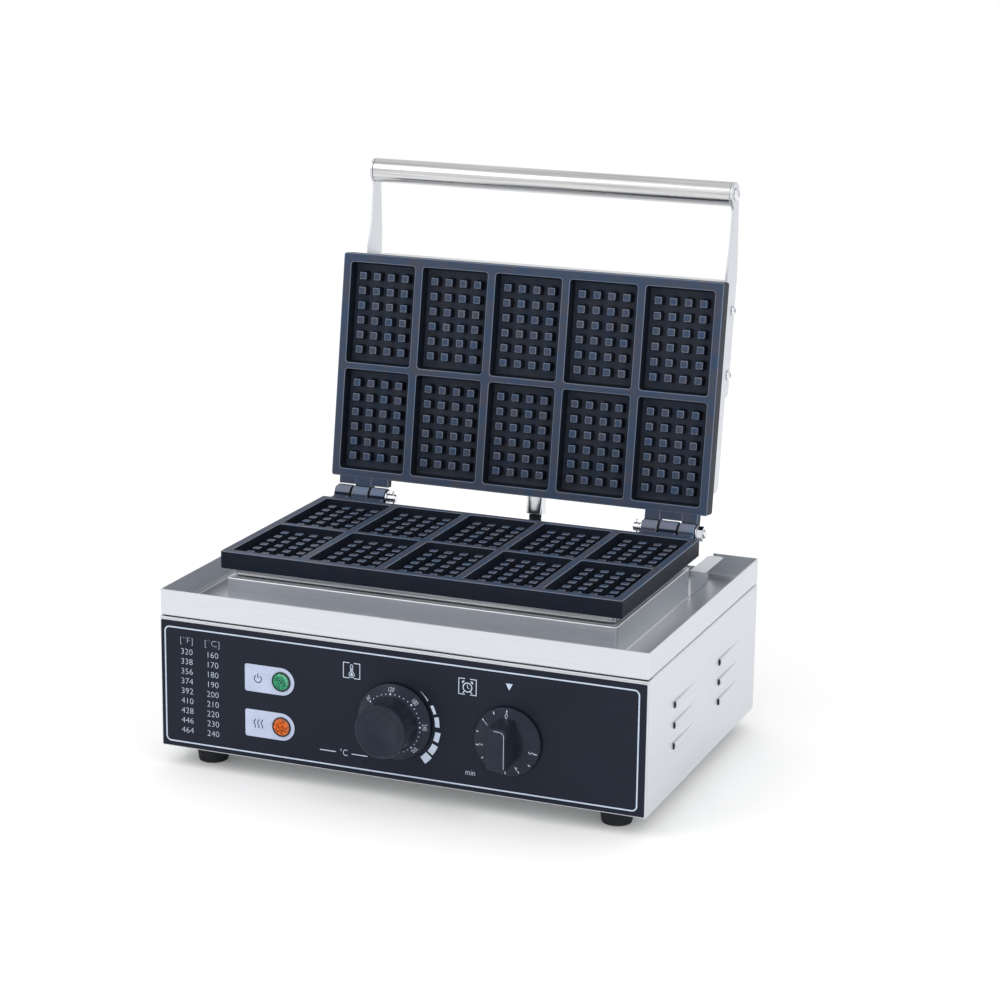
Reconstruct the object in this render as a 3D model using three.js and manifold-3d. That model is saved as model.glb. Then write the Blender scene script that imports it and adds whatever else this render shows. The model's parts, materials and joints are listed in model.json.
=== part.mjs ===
// Counter-top belgian waffle maker with ten cells, its lid standing open.
// Millimetres, +Z up. The front with its two dials faces -Y and X runs to the right.
// The two cooking plates are one casting, used twice and hinged together at the back.
import * as THREE from 'three';
import { mergeVertices } from 'three/addons/utils/BufferGeometryUtils.js';
import Module from 'manifold-3d';

const wasm = await Module();
wasm.setup();

// Gaps and fits
const SEAT = 0.3; // between two pieces that rest on each other
const SEAM = 0.6; // dark line between the body and the drip tray
const FACE_GAP = 0.6; // between the two plates when the lid is shut
const HOLE_CLEARANCE = 0.5; // round a screw or stud, on the radius
const RUNNING_CLEARANCE = 0.5; // round a hinge pin or a shaft, on the radius
const OVERRUN = 2; // how far a cut runs past the face that it opens

// Cooking plates
const CELL_COLUMNS = 5;
const CELL_WIDTH = 65;
const CELL_LENGTH = 94.3;
const CELL_DEPTH = 12.5;
const CELL_DRAFT = 1.5;
const SIDE_RIB = 8; // between neighbouring columns, and at the two sides
const MIDDLE_RIB = 6.3; // between the two rows
const FAR_RIB = 8.3;
const NEAR_RIB = 7.4; // along the hinged edge
const PLATE_THICKNESS = 15.6;
const PLATE_CORNER = 4;
const PEG_COLUMNS = 4;
const PEG_ROWS = 6;
const PEG_TOP = 7.2;
const PEG_DRAFT = 0.6;
const PEG_HEIGHT = 8;
const PEG_EDGE_SHARES = [0.9, 1.25]; // gap beside the outer pegs, of the gap between pegs

// Hinge
const HINGE_SETBACK = 16.2; // hinge axis to the near edge of a plate
const KNUCKLE_RADIUS = 8.5;
const KNUCKLE_GAP = 2;
const HINGE_INSET = 8.5; // side of a plate to the outer fork knuckle
const FORK_KNUCKLE = 15;
const TONGUE_KNUCKLE = 16.5;
const TONGUE_ROOT_EXTRA = 5;
const TONGUE_ROOT_LENGTH = 4;
const PIN_RADIUS = 4;
const PIN_TAIL = 9.5; // chrome end of the pin past the inner knuckle
const PIN_NUT = 5.5;
const PIN_NUT_RADIUS = 6.8;
const PIN_WASHER = 1;
const COTTER_RADIUS = 1;
const COTTER_REACH = 7;
const OPEN_ANGLE = 98.2; // degrees from shut to the stop

// Body
const SIDE_MARGIN = 38.5; // plate edge to the side of the body
const FRONT_MARGIN = 40.2; // plate edge to the front of the body
const HINGE_TO_BACK = 42;
const WALL_HEIGHT = 119;
const SHEET = 1.2;
const WALL_FLANGE = 10;
const VENT_COLUMNS = 6;
const VENT_LENGTH = 46;
const VENT_WIDTH = 5;
const VENT_PITCH = 18;

// Side louvres
const LOUVRE_ROWS = 3;
const LOUVRE_LENGTH = 61;
const LOUVRE_HEIGHT = 7;
const LOUVRE_RISE = 3;
const LOUVRE_PITCH = 18.4;
const LOUVRE_TOP_DROP = 38; // from the top of the wall to the top of the first louvre
const LOUVRE_COLUMN_SHARES = [-0.175, 0.23]; // of the body's depth, to the middle of a column

// Feet
const FOOT_HEIGHT = 18;
const FOOT_TOP_RADIUS = 15.5;
const FOOT_BASE_RADIUS = 13;
const FOOT_INSET_X = 35;
const FOOT_INSET_Y = 30;
const FOOT_RECESS = 6;
const SCREW_RADIUS = 2.2;
const SCREW_HEAD_RADIUS = 4.6;
const SCREW_HEAD = 2.8;
const NUT_RADIUS = 4.4;
const NUT_HEIGHT = 3.2;
const THREAD_PAST_NUT = 2;

// Drip tray
const TRAY_HEIGHT = 23.6;
const PLATE_OVERHANG = 5; // plate edge past the side of the pedestal
const PLATE_FRONT_OVERHANG = 2.3;
const PEDESTAL_RISE = 4.7; // above the rim of the tray
const PEDESTAL_FLANGE = 16;
const PEDESTAL_TO_HINGE = 27.5;
const NOTCH_GAP = 0.5; // low part of the back wall, past the side of the pedestal
const BACK_LIP = 8;

// Rear brackets
const BRACKET_FLANGE = 15;
const BRACKET_SHEET = 1.5;
const BRACKET_LENGTH = 56;
const BRACKET_CORNER = 4;
const BRACKET_TO_HINGE = 29.5;

// Heaters and the pan below the lower plate
const HEATER_DIAMETER = 6.4;
const HEATER_PITCH_SHARE = 0.28; // of the pan's width
const HEATER_END_GAP = 10;
const PAN_SHEET = 0.8;
const PAN_INSET = 3.5;
const PAN_FRONT_INSET = 7;
const PAN_BACK_INSET = 6;
const STUD_RADIUS = 2.5;
const STUD_INSET = 32;
const WIRE_HOLE_RADIUS = 6;
const WIRE_HOLE_SHARES = [0.3, 0.72]; // of the pan's half width and of its depth from the front

// Lid cover and handle
const COVER_NEAR_GAP = 12.4; // near edge of the plate to the near end of the cover
const COVER_SIDE_INSET = 10.5;
const COVER_DEPTH = 51.3;
const COVER_CORNER = 7;
const SHIELD_SHEET = 0.8;
const SHIELD_INSET = 12;
const ARM_SHEET = 2.5;
const ARM_WIDTH = 30;
const ARM_DROP = 3.5; // top of the cover to the top of the arm
const ARM_REACH_DOWN = 107; // lower end of the arm from the far edge of the plate
const ARM_SHOULDER = 14; // past the far edge, where the arm starts to narrow
const ARM_TAPER = 24;
const ARM_NECK = 16;
const ARM_CORNER = 6;
const ARM_SCREW_DROP = 27.2; // from the far edge of the plate to the upper screw
const ARM_SCREW_END_GAP = 20.7; // from the lower end of the arm to the lower screw
const ARM_SCREW_INSET = 7;
const BAR_RADIUS = 11.25;
const BAR_REACH = 78.2; // axis of the bar past the far edge of the plate
const BAR_DROP = 23; // below the top of the arm
const BAR_WALL = 1.5;
const BAR_PLUG = 14;
const BAR_SCREW_RADIUS = 3;
const BAR_SCREW_HEAD_RADIUS = 6;
const BAR_SCREW_HEAD = 3;

// Wire conduit between the body and the lid
const CONDUIT_X = 12;
const CONDUIT_RISE = 11.5; // axis above the back of the upper plate
const SLEEVE_RADIUS = 9.4;
const SLEEVE_WALL = 1.5;
const SLEEVE_LENGTH = 31;
const SLEEVE_INSIDE = 4.5;
const SLEEVE_COLLAR_RADIUS = 10.8;
const SLEEVE_COLLAR = 3;
const HOSE_RADIUS = 6;
const HOSE_LENGTH = 17;
const RISER_RADIUS = 7;
const RISER_BORE = 5;
const RISER_BUSH_RADIUS = 9;
const RISER_BUSH = 6;
const RISER_FLANGE_RADIUS = 12;
const RISER_FLANGE = 3;

// Front panel, dials and lamps
const FASCIA_SHEET = 0.5;
const FASCIA_GLUE = 0.1;
const FASCIA_TOP_MARGIN = 3;
const FASCIA_SIDE_MARGIN = 1.2;
const FASCIA_BASE_MARGIN = 1;
const TEMPERATURE_HEIGHT = 54; // above the bottom of the body
const TIMER_HEIGHT = 51;
const DIAL_SHAFT_RADIUS = 3;
const DIAL_STANDOFF = 1.5; // between the fascia and a dial
const DIAL_BORE = 14;
const TEMPERATURE_RADIUS = 34;
const TEMPERATURE_GRIP_RADIUS = 24.5;
const TEMPERATURE_DEPTH = 32;
const TIMER_OFFSET = 103.2;
const TIMER_RADIUS = 30;
const TIMER_BASE_RADIUS = 19;
const TIMER_GRIP_WIDTH = 17;
const TIMER_GRIP_LENGTH = 39;
const TIMER_DEPTH = 30;
const SKIRT_EDGE = 3;
const SKIRT_RISE = 7;
const LAMP_OFFSET = 107.5;
const LAMP_HEIGHTS = [74, 33]; // above the bottom of the body
const LAMP_RADIUS = 8;
const LAMP_RISE = 3;
const LAMP_BODY_RADIUS = 9.5;
const LAMP_BODY_LENGTH = 24;
const LAMP_FLANGE = 3;

// Inside the body
const THERMOSTAT_WIDTH = 36;
const THERMOSTAT_HEIGHT = 30;
const THERMOSTAT_DEPTH = 32;
const TIMER_BODY_WIDTH = 44;
const TIMER_BODY_DEPTH = 28;
const SHAFT_GRIP = 12; // length of a shaft inside its body
const BULB_RADIUS = 3;
const BULB_LENGTH = 80;
const CAPILLARY_RADIUS = 1;
const BLOCK_LENGTH = 52;
const BLOCK_WIDTH = 22;
const BLOCK_HEIGHT = 17;
const BLOCK_POLES = 3;
const BLOCK_BORE_RADIUS = 3.2;
const BLOCK_INSET_X = 80;
const BLOCK_INSET_Y = 45;
const GLAND_HEIGHT = 34; // above the bottom of the body
const GLAND_RADIUS = 8;
const GLAND_BORE = 4.5;
const GLAND_HEAD_RADIUS = 12;
const GLAND_HEAD = 5;
const GLAND_DOME = 9;
const GLAND_NUT = 4;

// Facets on a round of each size, and steps along a curve
const FINE = 24;
const ROUND = 16;
const COARSE = 10;
const HEX = 6;
const CORNER_STEPS = 3;
const ARM_STEPS = 6;
const HEATER_STEPS = 36;
const CAPILLARY_STEPS = 18;
const HOSE_STEPS = 4;

// Places that follow from the sizes above
const FACE = FACE_GAP / 2;
const PLATE_WIDTH = CELL_COLUMNS * CELL_WIDTH + (CELL_COLUMNS + 1) * SIDE_RIB;
const PLATE_LENGTH = NEAR_RIB + CELL_LENGTH + MIDDLE_RIB + CELL_LENGTH + FAR_RIB;
const PLATE_FAR = HINGE_SETBACK + PLATE_LENGTH;
const BODY_WIDTH = PLATE_WIDTH + 2 * SIDE_MARGIN;
const BODY_DEPTH = FRONT_MARGIN + PLATE_FAR + HINGE_TO_BACK;
const SIDE_X = BODY_WIDTH / 2;
const BACK_Y = BODY_DEPTH / 2;
const FRONT_Y = -BACK_Y;
const HINGE_Y = BACK_Y - HINGE_TO_BACK;
const BODY_Z = FOOT_HEIGHT;
const WALL_TOP = BODY_Z + WALL_HEIGHT;
const TRAY_Z = WALL_TOP + SEAM;
const RIM_Z = TRAY_Z + TRAY_HEIGHT;
const PEDESTAL_Z = RIM_Z + PEDESTAL_RISE;
const PAN_Z = PEDESTAL_Z + SEAT;
const PAN_HEIGHT = PAN_SHEET + SEAT + HEATER_DIAMETER;
const PLATE_BOTTOM = PAN_Z + PAN_HEIGHT + SEAT;
const HINGE_Z = PLATE_BOTTOM + PLATE_THICKNESS + FACE;
const PLATE_BACK = FACE + PLATE_THICKNESS;
const PEDESTAL_X = PLATE_WIDTH / 2 - PLATE_OVERHANG;
const PEDESTAL_FRONT = HINGE_Y - PLATE_FAR + PLATE_FRONT_OVERHANG;
const PEDESTAL_BACK = HINGE_Y - PEDESTAL_TO_HINGE;
const PAN_X = PEDESTAL_X - PAN_INSET;
const PAN_FRONT = PEDESTAL_FRONT + PAN_FRONT_INSET;
const PAN_BACK = PEDESTAL_BACK - PAN_BACK_INSET;
const STUD_X = PEDESTAL_X - SHEET - PEDESTAL_FLANGE / 2;
const COVER_X = PLATE_WIDTH / 2 - COVER_SIDE_INSET;
const COVER_NEAR = HINGE_SETBACK + COVER_NEAR_GAP;
const COVER_RIM = PLATE_BACK + SEAT;
const COVER_TOP = COVER_RIM + COVER_DEPTH;
const ARM_TOP = COVER_TOP - ARM_DROP;
const ARM_X = COVER_X + SEAT;
const ARM_SCREW_DROPS = [ARM_SCREW_DROP, ARM_REACH_DOWN - ARM_SCREW_END_GAP];
const BAR_S = PLATE_FAR + BAR_REACH;
const BAR_D = ARM_TOP - BAR_DROP;
const CONDUIT_D = PLATE_BACK + CONDUIT_RISE;
const FASCIA_Y = FRONT_Y - FASCIA_GLUE - FASCIA_SHEET;
const PANEL_BACK = FRONT_Y + SHEET;
const DIAL_PLACES = {
  thermostat: [0, BODY_Z + TEMPERATURE_HEIGHT],
  timer: [TIMER_OFFSET, BODY_Z + TIMER_HEIGHT],
};
const FLOOR_TOP = BODY_Z + SHEET;

const FINISHES = {
  steel: { color: 0xd4d6d9, roughness: 0.32, metalness: 1 },
  brightSteel: { color: 0xe6e7e9, roughness: 0.12, metalness: 1 },
  chrome: { color: 0xe9eaec, roughness: 0.08, metalness: 1 },
  nonStick: { color: 0x33363f, roughness: 0.5, metalness: 0.3 },
  fascia: { color: 0x2b2f38, roughness: 0.45, metalness: 0 },
  dial: { color: 0x24262c, roughness: 0.5, metalness: 0 },
  rubber: { color: 0x1b1b1d, roughness: 0.85, metalness: 0 },
  greenLens: { color: 0x1fae5a, roughness: 0.2, metalness: 0 },
  orangeLens: { color: 0xe0661a, roughness: 0.2, metalness: 0 },
  heater: { color: 0x6d6a66, roughness: 0.6, metalness: 0.8 },
  galvanised: { color: 0xb4b8ba, roughness: 0.5, metalness: 1 },
  blackPlastic: { color: 0x202124, roughness: 0.6, metalness: 0 },
  ceramic: { color: 0xe8e4da, roughness: 0.4, metalness: 0 },
  copper: { color: 0xb87348, roughness: 0.35, metalness: 1 },
};

// A closed geometry as a solid for cuts and joins, with its faces turned outwards
function solidOf(geometry) {
  const bare = geometry.clone();
  bare.deleteAttribute('normal');
  bare.deleteAttribute('uv');
  const merged = mergeVertices(bare);
  const points = merged.attributes.position;
  const corners = [new THREE.Vector3(), new THREE.Vector3(), new THREE.Vector3()];
  const faces = [];
  let volume = 0;
  for (let i = 0; i < merged.index.count; i += 3) {
    const face = [0, 1, 2].map((k) => merged.index.getX(i + k));
    if (new Set(face).size < 3) continue;
    face.forEach((v, k) => corners[k].fromBufferAttribute(points, v));
    volume += corners[0].dot(corners[1].clone().cross(corners[2]));
    faces.push(face);
  }
  const triVerts = Uint32Array.from(faces.flatMap((f) => (volume < 0 ? f.reverse() : f)));
  const vertProperties = Float32Array.from(points.array);
  return new wasm.Manifold(new wasm.Mesh({ numProp: 3, vertProperties, triVerts }));
}

function geometryOf(solid) {
  const mesh = solid.getMesh();
  const geometry = new THREE.BufferGeometry();
  geometry.setAttribute('position', new THREE.Float32BufferAttribute(mesh.vertProperties, 3));
  geometry.setIndex(new THREE.Uint32BufferAttribute(mesh.triVerts, 1));
  geometry.computeVertexNormals();
  return geometry;
}

const join = (solids) => solids.reduce((whole, solid) => whole.add(solid));
const cut = (solid, tools) => tools.reduce((whole, tool) => whole.subtract(tool), solid);

// Block between two limits on each axis
function block([x0, x1], [y0, y1], [z0, z1]) {
  const box = new THREE.BoxGeometry(x1 - x0, y1 - y0, z1 - z0);
  return solidOf(box.translate((x0 + x1) / 2, (y0 + y1) / 2, (z0 + z1) / 2));
}

// Block that narrows by a draft on each side towards its lower end
function taperedBlock(width, length, height, draft) {
  const box = new THREE.BoxGeometry(width, length, height);
  const points = box.attributes.position;
  for (let i = 0; i < points.count; i += 1) {
    if (points.getZ(i) > 0) continue;
    points.setX(i, points.getX(i) - Math.sign(points.getX(i)) * draft);
    points.setY(i, points.getY(i) - Math.sign(points.getY(i)) * draft);
  }
  return box;
}

// Round bar along an axis, from one limit to the other, centred on the other two places
function rod(axis, radius, [from, to], [a, b], sides = ROUND) {
  const bar = new THREE.CylinderGeometry(radius, radius, to - from, sides);
  const middle = (from + to) / 2;
  if (axis === 'x') return solidOf(bar.rotateZ(-Math.PI / 2).translate(middle, a, b));
  if (axis === 'y') return solidOf(bar.translate(a, middle, b));
  return solidOf(bar.rotateX(Math.PI / 2).translate(a, b, middle));
}

// Profile of [radius, height] points turned about the Y axis, heights towards -Y
function turned(profile, sides = FINE) {
  const points = profile.map(([radius, height]) => new THREE.Vector2(radius, -height));
  return new THREE.LatheGeometry(points, sides);
}

function roundedOutline(width, length, corner) {
  const x = width / 2;
  const y = length / 2;
  const shape = new THREE.Shape();
  shape.moveTo(corner - x, -y);
  shape.lineTo(x - corner, -y);
  shape.absarc(x - corner, corner - y, corner, -Math.PI / 2, 0);
  shape.absarc(x - corner, y - corner, corner, 0, Math.PI / 2);
  shape.absarc(corner - x, y - corner, corner, Math.PI / 2, Math.PI);
  shape.absarc(corner - x, corner - y, corner, Math.PI, 1.5 * Math.PI);
  return shape;
}

function extruded(shape, depth, curveSegments = CORNER_STEPS) {
  return new THREE.ExtrudeGeometry(shape, { depth, curveSegments, bevelEnabled: false });
}

// Solid round bar along a curve
function bentRod(curve, radius, sides, steps) {
  const section = new THREE.Shape();
  for (let i = 0; i < sides; i += 1) {
    const turn = (2 * Math.PI * i) / sides;
    const place = [radius * Math.cos(turn), radius * Math.sin(turn)];
    if (i === 0) section.moveTo(...place);
    else section.lineTo(...place);
  }
  const options = { steps, extrudePath: curve, bevelEnabled: false };
  return solidOf(new THREE.ExtrudeGeometry(section, options));
}

function addPart(parent, name, solid, finish) {
  const material = new THREE.MeshStandardMaterial(finish);
  const mesh = new THREE.Mesh(geometryOf(solid), material);
  mesh.name = name;
  parent.add(mesh);
  return mesh;
}

// One cooking plate in the frame of its hinge: the axis along X through the origin, the
// plate reaching towards -Y, its face upwards. A fork is on the left, a tongue on the right.
function platePockets() {
  const floorWidth = CELL_WIDTH - 2 * CELL_DRAFT;
  const floorLength = CELL_LENGTH - 2 * CELL_DRAFT;
  const base = PEG_TOP + 2 * PEG_DRAFT;
  const pitch = (span, count, share) => base + (span - base * count) / (count - 1 + 2 * share);
  const pitchX = pitch(floorWidth, PEG_COLUMNS, PEG_EDGE_SHARES[0]);
  const pitchY = pitch(floorLength, PEG_ROWS, PEG_EDGE_SHARES[1]);
  const height = CELL_DEPTH + OVERRUN;
  const flare = (CELL_DRAFT * OVERRUN) / CELL_DEPTH;
  const hollow = taperedBlock(
    CELL_WIDTH + 2 * flare, CELL_LENGTH + 2 * flare, height, CELL_DRAFT + flare);
  let pocket = solidOf(hollow.translate(0, 0, height / 2 - CELL_DEPTH));
  const pegHeight = PEG_HEIGHT + OVERRUN;
  const pegZ = PEG_HEIGHT - pegHeight / 2 - CELL_DEPTH;
  for (let i = 0; i < PEG_COLUMNS; i += 1) {
    for (let j = 0; j < PEG_ROWS; j += 1) {
      const peg = taperedBlock(PEG_TOP, PEG_TOP, pegHeight, -PEG_DRAFT);
      const x = (i - (PEG_COLUMNS - 1) / 2) * pitchX;
      const y = (j - (PEG_ROWS - 1) / 2) * pitchY;
      pocket = pocket.subtract(solidOf(peg.translate(x, y, pegZ)));
    }
  }
  return geometryOf(pocket);
}

const HINGE_OUTER = PLATE_WIDTH / 2 - HINGE_INSET;
const TONGUE_OUTER = HINGE_OUTER - FORK_KNUCKLE - KNUCKLE_GAP;
const TONGUE_INNER = TONGUE_OUTER - TONGUE_KNUCKLE;
const FORK_INNER = TONGUE_INNER - KNUCKLE_GAP - FORK_KNUCKLE;
const KNUCKLES = {
  forkInner: [FORK_INNER, FORK_INNER + FORK_KNUCKLE],
  tongue: [TONGUE_INNER, TONGUE_OUTER],
  forkOuter: [HINGE_OUTER - FORK_KNUCKLE, HINGE_OUTER],
};

function castPlate() {
  const outline = roundedOutline(PLATE_WIDTH, PLATE_LENGTH, PLATE_CORNER);
  const slab = extruded(outline, PLATE_THICKNESS);
  slab.translate(0, -HINGE_SETBACK - PLATE_LENGTH / 2, -PLATE_BACK);
  const webs = [[-FACE - KNUCKLE_RADIUS, -FACE], [-HINGE_SETBACK - OVERRUN, 0]];
  const knuckle = ([x0, x1]) => join([
    rod('x', KNUCKLE_RADIUS, [x0, x1], [0, 0]),
    block([x0, x1], webs[1], webs[0]),
  ]);
  const mirrored = ([x0, x1]) => [-x1, -x0];
  const [tongueIn, tongueOut] = KNUCKLES.tongue;
  const root = block(
    [tongueIn - TONGUE_ROOT_EXTRA, tongueOut],
    [-HINGE_SETBACK - OVERRUN, TONGUE_ROOT_LENGTH - HINGE_SETBACK],
    webs[0]);
  let plate = join([
    solidOf(slab),
    knuckle(mirrored(KNUCKLES.forkInner)),
    knuckle(mirrored(KNUCKLES.forkOuter)),
    knuckle(KNUCKLES.tongue),
    root,
  ]);
  const bore = [FORK_INNER - OVERRUN, HINGE_OUTER + OVERRUN];
  const boreRadius = PIN_RADIUS + RUNNING_CLEARANCE;
  plate = cut(plate, [bore, mirrored(bore)].map((span) => rod('x', boreRadius, span, [0, 0])));
  const pocket = platePockets();
  const rowYs = [
    -HINGE_SETBACK - NEAR_RIB - CELL_LENGTH / 2,
    -PLATE_FAR + FAR_RIB + CELL_LENGTH / 2,
  ];
  for (let i = 0; i < CELL_COLUMNS; i += 1) {
    const x = (i - (CELL_COLUMNS - 1) / 2) * (CELL_WIDTH + SIDE_RIB);
    for (const y of rowYs) {
      const place = pocket.clone().translate(x, y, -FACE);
      plate = plate.subtract(solidOf(place));
    }
  }
  return plate;
}

// Tubular heater under a plate: four runs joined by three bends, in the plate's frame
function heatingElement() {
  const pitch = 2 * PAN_X * HEATER_PITCH_SHARE;
  const radius = pitch / 2;
  const near = HINGE_Y - PAN_BACK + PAN_SHEET + HEATER_END_GAP;
  const far = HINGE_Y - PAN_FRONT - PAN_SHEET - HEATER_END_GAP - radius;
  const z = -PLATE_BACK - SEAT - HEATER_DIAMETER / 2;
  const route = new THREE.CurvePath();
  let last = new THREE.Vector3(-1.5 * pitch, -near, z);
  const runTo = (next) => {
    route.add(new THREE.LineCurve3(last, next));
    last = next;
  };
  const bend = (centreX, centreS, side) => {
    const top = -centreS - side * radius;
    const middle = new THREE.Vector3(centreX, top, z);
    const first = new THREE.Vector3(centreX - radius, top, z);
    const second = new THREE.Vector3(centreX + radius, top, z);
    const next = new THREE.Vector3(centreX + radius, -centreS, z);
    route.add(new THREE.QuadraticBezierCurve3(last, first, middle));
    route.add(new THREE.QuadraticBezierCurve3(middle, second, next));
    last = next;
  };
  const turnS = near + radius;
  runTo(new THREE.Vector3(-1.5 * pitch, -far, z));
  bend(-pitch, far, 1);
  runTo(new THREE.Vector3(-pitch / 2, -turnS, z));
  bend(0, turnS, -1);
  runTo(new THREE.Vector3(pitch / 2, -far, z));
  bend(pitch, far, 1);
  runTo(new THREE.Vector3(1.5 * pitch, -near, z));
  return bentRod(route, HEATER_DIAMETER / 2, HEX, HEATER_STEPS);
}

// Screw or stud along an axis with a head at one end and a nut near the other
function fastener(axis, place, radius, [from, to], [headRadius, head], nut) {
  const way = Math.sign(to - from);
  const span = (a, b) => [Math.min(a, b), Math.max(a, b)];
  const pieces = [rod(axis, radius, span(from, to), place, COARSE)];
  if (head > 0) {
    pieces.push(rod(axis, headRadius, span(from, from + way * head), place, COARSE));
  }
  if (nut) pieces.push(rod(axis, NUT_RADIUS, span(nut[0], nut[1]), place, HEX));
  return join(pieces);
}

// Bent-sheet body: two sides and the back in one, a front panel and a bottom
function bodyWrap() {
  const inX = SIDE_X - SHEET;
  const inBack = BACK_Y - SHEET;
  const start = PANEL_BACK + SEAT;
  const shell = block([-SIDE_X, SIDE_X], [start, BACK_Y], [BODY_Z, WALL_TOP]);
  const inside = block([-inX, inX], [start - OVERRUN, inBack], [BODY_Z - OVERRUN, WALL_TOP - SHEET]);
  const opening = block(
    [WALL_FLANGE - inX, inX - WALL_FLANGE],
    [start - OVERRUN, inBack - WALL_FLANGE],
    [BODY_Z, WALL_TOP + OVERRUN]);
  const glandHole = rod('y', GLAND_RADIUS + HOLE_CLEARANCE,
    [inBack - OVERRUN, BACK_Y + OVERRUN], [SIDE_X - BLOCK_INSET_X, BODY_Z + GLAND_HEIGHT]);
  let wrap = cut(shell, [inside, opening, glandHole]);
  for (const side of [-1, 1]) {
    for (const share of LOUVRE_COLUMN_SHARES) {
      for (let row = 0; row < LOUVRE_ROWS; row += 1) {
        const top = WALL_TOP - LOUVRE_TOP_DROP - row * LOUVRE_PITCH;
        wrap = addLouvre(wrap, side, share * BODY_DEPTH, top);
      }
    }
  }
  return wrap;
}

// Pressed louvre, open at its front end and running out flush at its back end
function addLouvre(wrap, side, middleY, top) {
  const wedge = (rise, drop, from, to, low, high) => {
    const shape = new THREE.Shape();
    shape.moveTo(SIDE_X - drop, to);
    shape.lineTo(SIDE_X - drop, from);
    shape.lineTo(SIDE_X + rise, from);
    shape.closePath();
    const solid = extruded(shape, high - low).translate(0, 0, low);
    return solidOf(side > 0 ? solid : solid.scale(-1, 1, 1));
  };
  const front = middleY - LOUVRE_LENGTH / 2;
  const back = middleY + LOUVRE_LENGTH / 2;
  const slope = (LOUVRE_RISE + SHEET / 2) / LOUVRE_LENGTH;
  const hood = wedge(LOUVRE_RISE, SHEET / 2, front, back, top - LOUVRE_HEIGHT, top);
  const hollow = wedge(
    LOUVRE_RISE - SHEET + slope * OVERRUN, SHEET + OVERRUN, front - OVERRUN, back - SHEET / slope,
    top - LOUVRE_HEIGHT + SHEET, top - SHEET);
  return wrap.add(hood).subtract(hollow);
}

function frontPanel() {
  const flangeX = SIDE_X - SHEET - WALL_FLANGE - SEAT;
  const sheet = block([-SIDE_X, SIDE_X], [FRONT_Y, PANEL_BACK], [BODY_Z, WALL_TOP]);
  const flange = block(
    [-flangeX, flangeX], [FRONT_Y, PANEL_BACK + WALL_FLANGE], [WALL_TOP - SHEET, WALL_TOP]);
  return cut(sheet.add(flange), panelHoles());
}

// Holes for the two shafts and the two lamps
function panelHoles() {
  const through = [FASCIA_Y - OVERRUN, PANEL_BACK + OVERRUN];
  const shaft = DIAL_SHAFT_RADIUS + RUNNING_CLEARANCE;
  return [
    ...Object.values(DIAL_PLACES).map((place) => rod('y', shaft, through, place, COARSE)),
    ...LAMP_HEIGHTS.map((height) => rod(
      'y', LAMP_RADIUS + HOLE_CLEARANCE, through, [-LAMP_OFFSET, BODY_Z + height])),
  ];
}

function controlFascia() {
  const x = SIDE_X - FASCIA_SIDE_MARGIN;
  const z = [BODY_Z + FASCIA_BASE_MARGIN, WALL_TOP - FASCIA_TOP_MARGIN];
  const sheet = block([-x, x], [FASCIA_Y, FASCIA_Y + FASCIA_SHEET], z);
  return cut(sheet, panelHoles());
}

const FOOT_PLACES = [
  ['front_left', -1, -1], ['front_right', 1, -1], ['rear_left', -1, 1], ['rear_right', 1, 1],
].map(([name, x, y]) => ({
  name,
  place: [x * (SIDE_X - FOOT_INSET_X), y * (BACK_Y - FOOT_INSET_Y)],
}));

function bottomPlate() {
  const x = SIDE_X - SHEET - SEAT;
  const y = [PANEL_BACK + SEAT, BACK_Y - SHEET - SEAT];
  const plate = block([-x, x], y, [BODY_Z, FLOOR_TOP]);
  const through = [BODY_Z - OVERRUN, FLOOR_TOP + OVERRUN];
  const holes = FOOT_PLACES.map(({ place }) => rod(
    'z', SCREW_RADIUS + HOLE_CLEARANCE, through, place, COARSE));
  for (let i = 0; i < VENT_COLUMNS; i += 1) {
    const ventX = (i - (VENT_COLUMNS - 1) / 2) * VENT_PITCH;
    holes.push(block(
      [ventX - VENT_WIDTH / 2, ventX + VENT_WIDTH / 2], [-VENT_LENGTH / 2, VENT_LENGTH / 2],
      through));
  }
  return cut(plate, holes);
}

function foot([x, y]) {
  const profile = [[0, 0], [FOOT_BASE_RADIUS, 0], [FOOT_TOP_RADIUS, -FOOT_HEIGHT], [0, -FOOT_HEIGHT]];
  const body = solidOf(turned(profile, ROUND).rotateX(Math.PI / 2).translate(x, y, 0));
  return cut(body, [
    rod('z', SCREW_HEAD_RADIUS + HOLE_CLEARANCE, [-OVERRUN, FOOT_RECESS], [x, y], COARSE),
    rod('z', SCREW_RADIUS + HOLE_CLEARANCE, [0, FOOT_HEIGHT + OVERRUN], [x, y], COARSE),
  ]);
}

function footScrew(place) {
  const head = FOOT_RECESS - SEAT - SCREW_HEAD;
  const nut = [FLOOR_TOP + SEAT, FLOOR_TOP + SEAT + NUT_HEIGHT];
  return fastener('z', place, SCREW_RADIUS, [head, nut[1] + THREAD_PAST_NUT],
    [SCREW_HEAD_RADIUS, SCREW_HEAD], nut);
}

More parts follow.
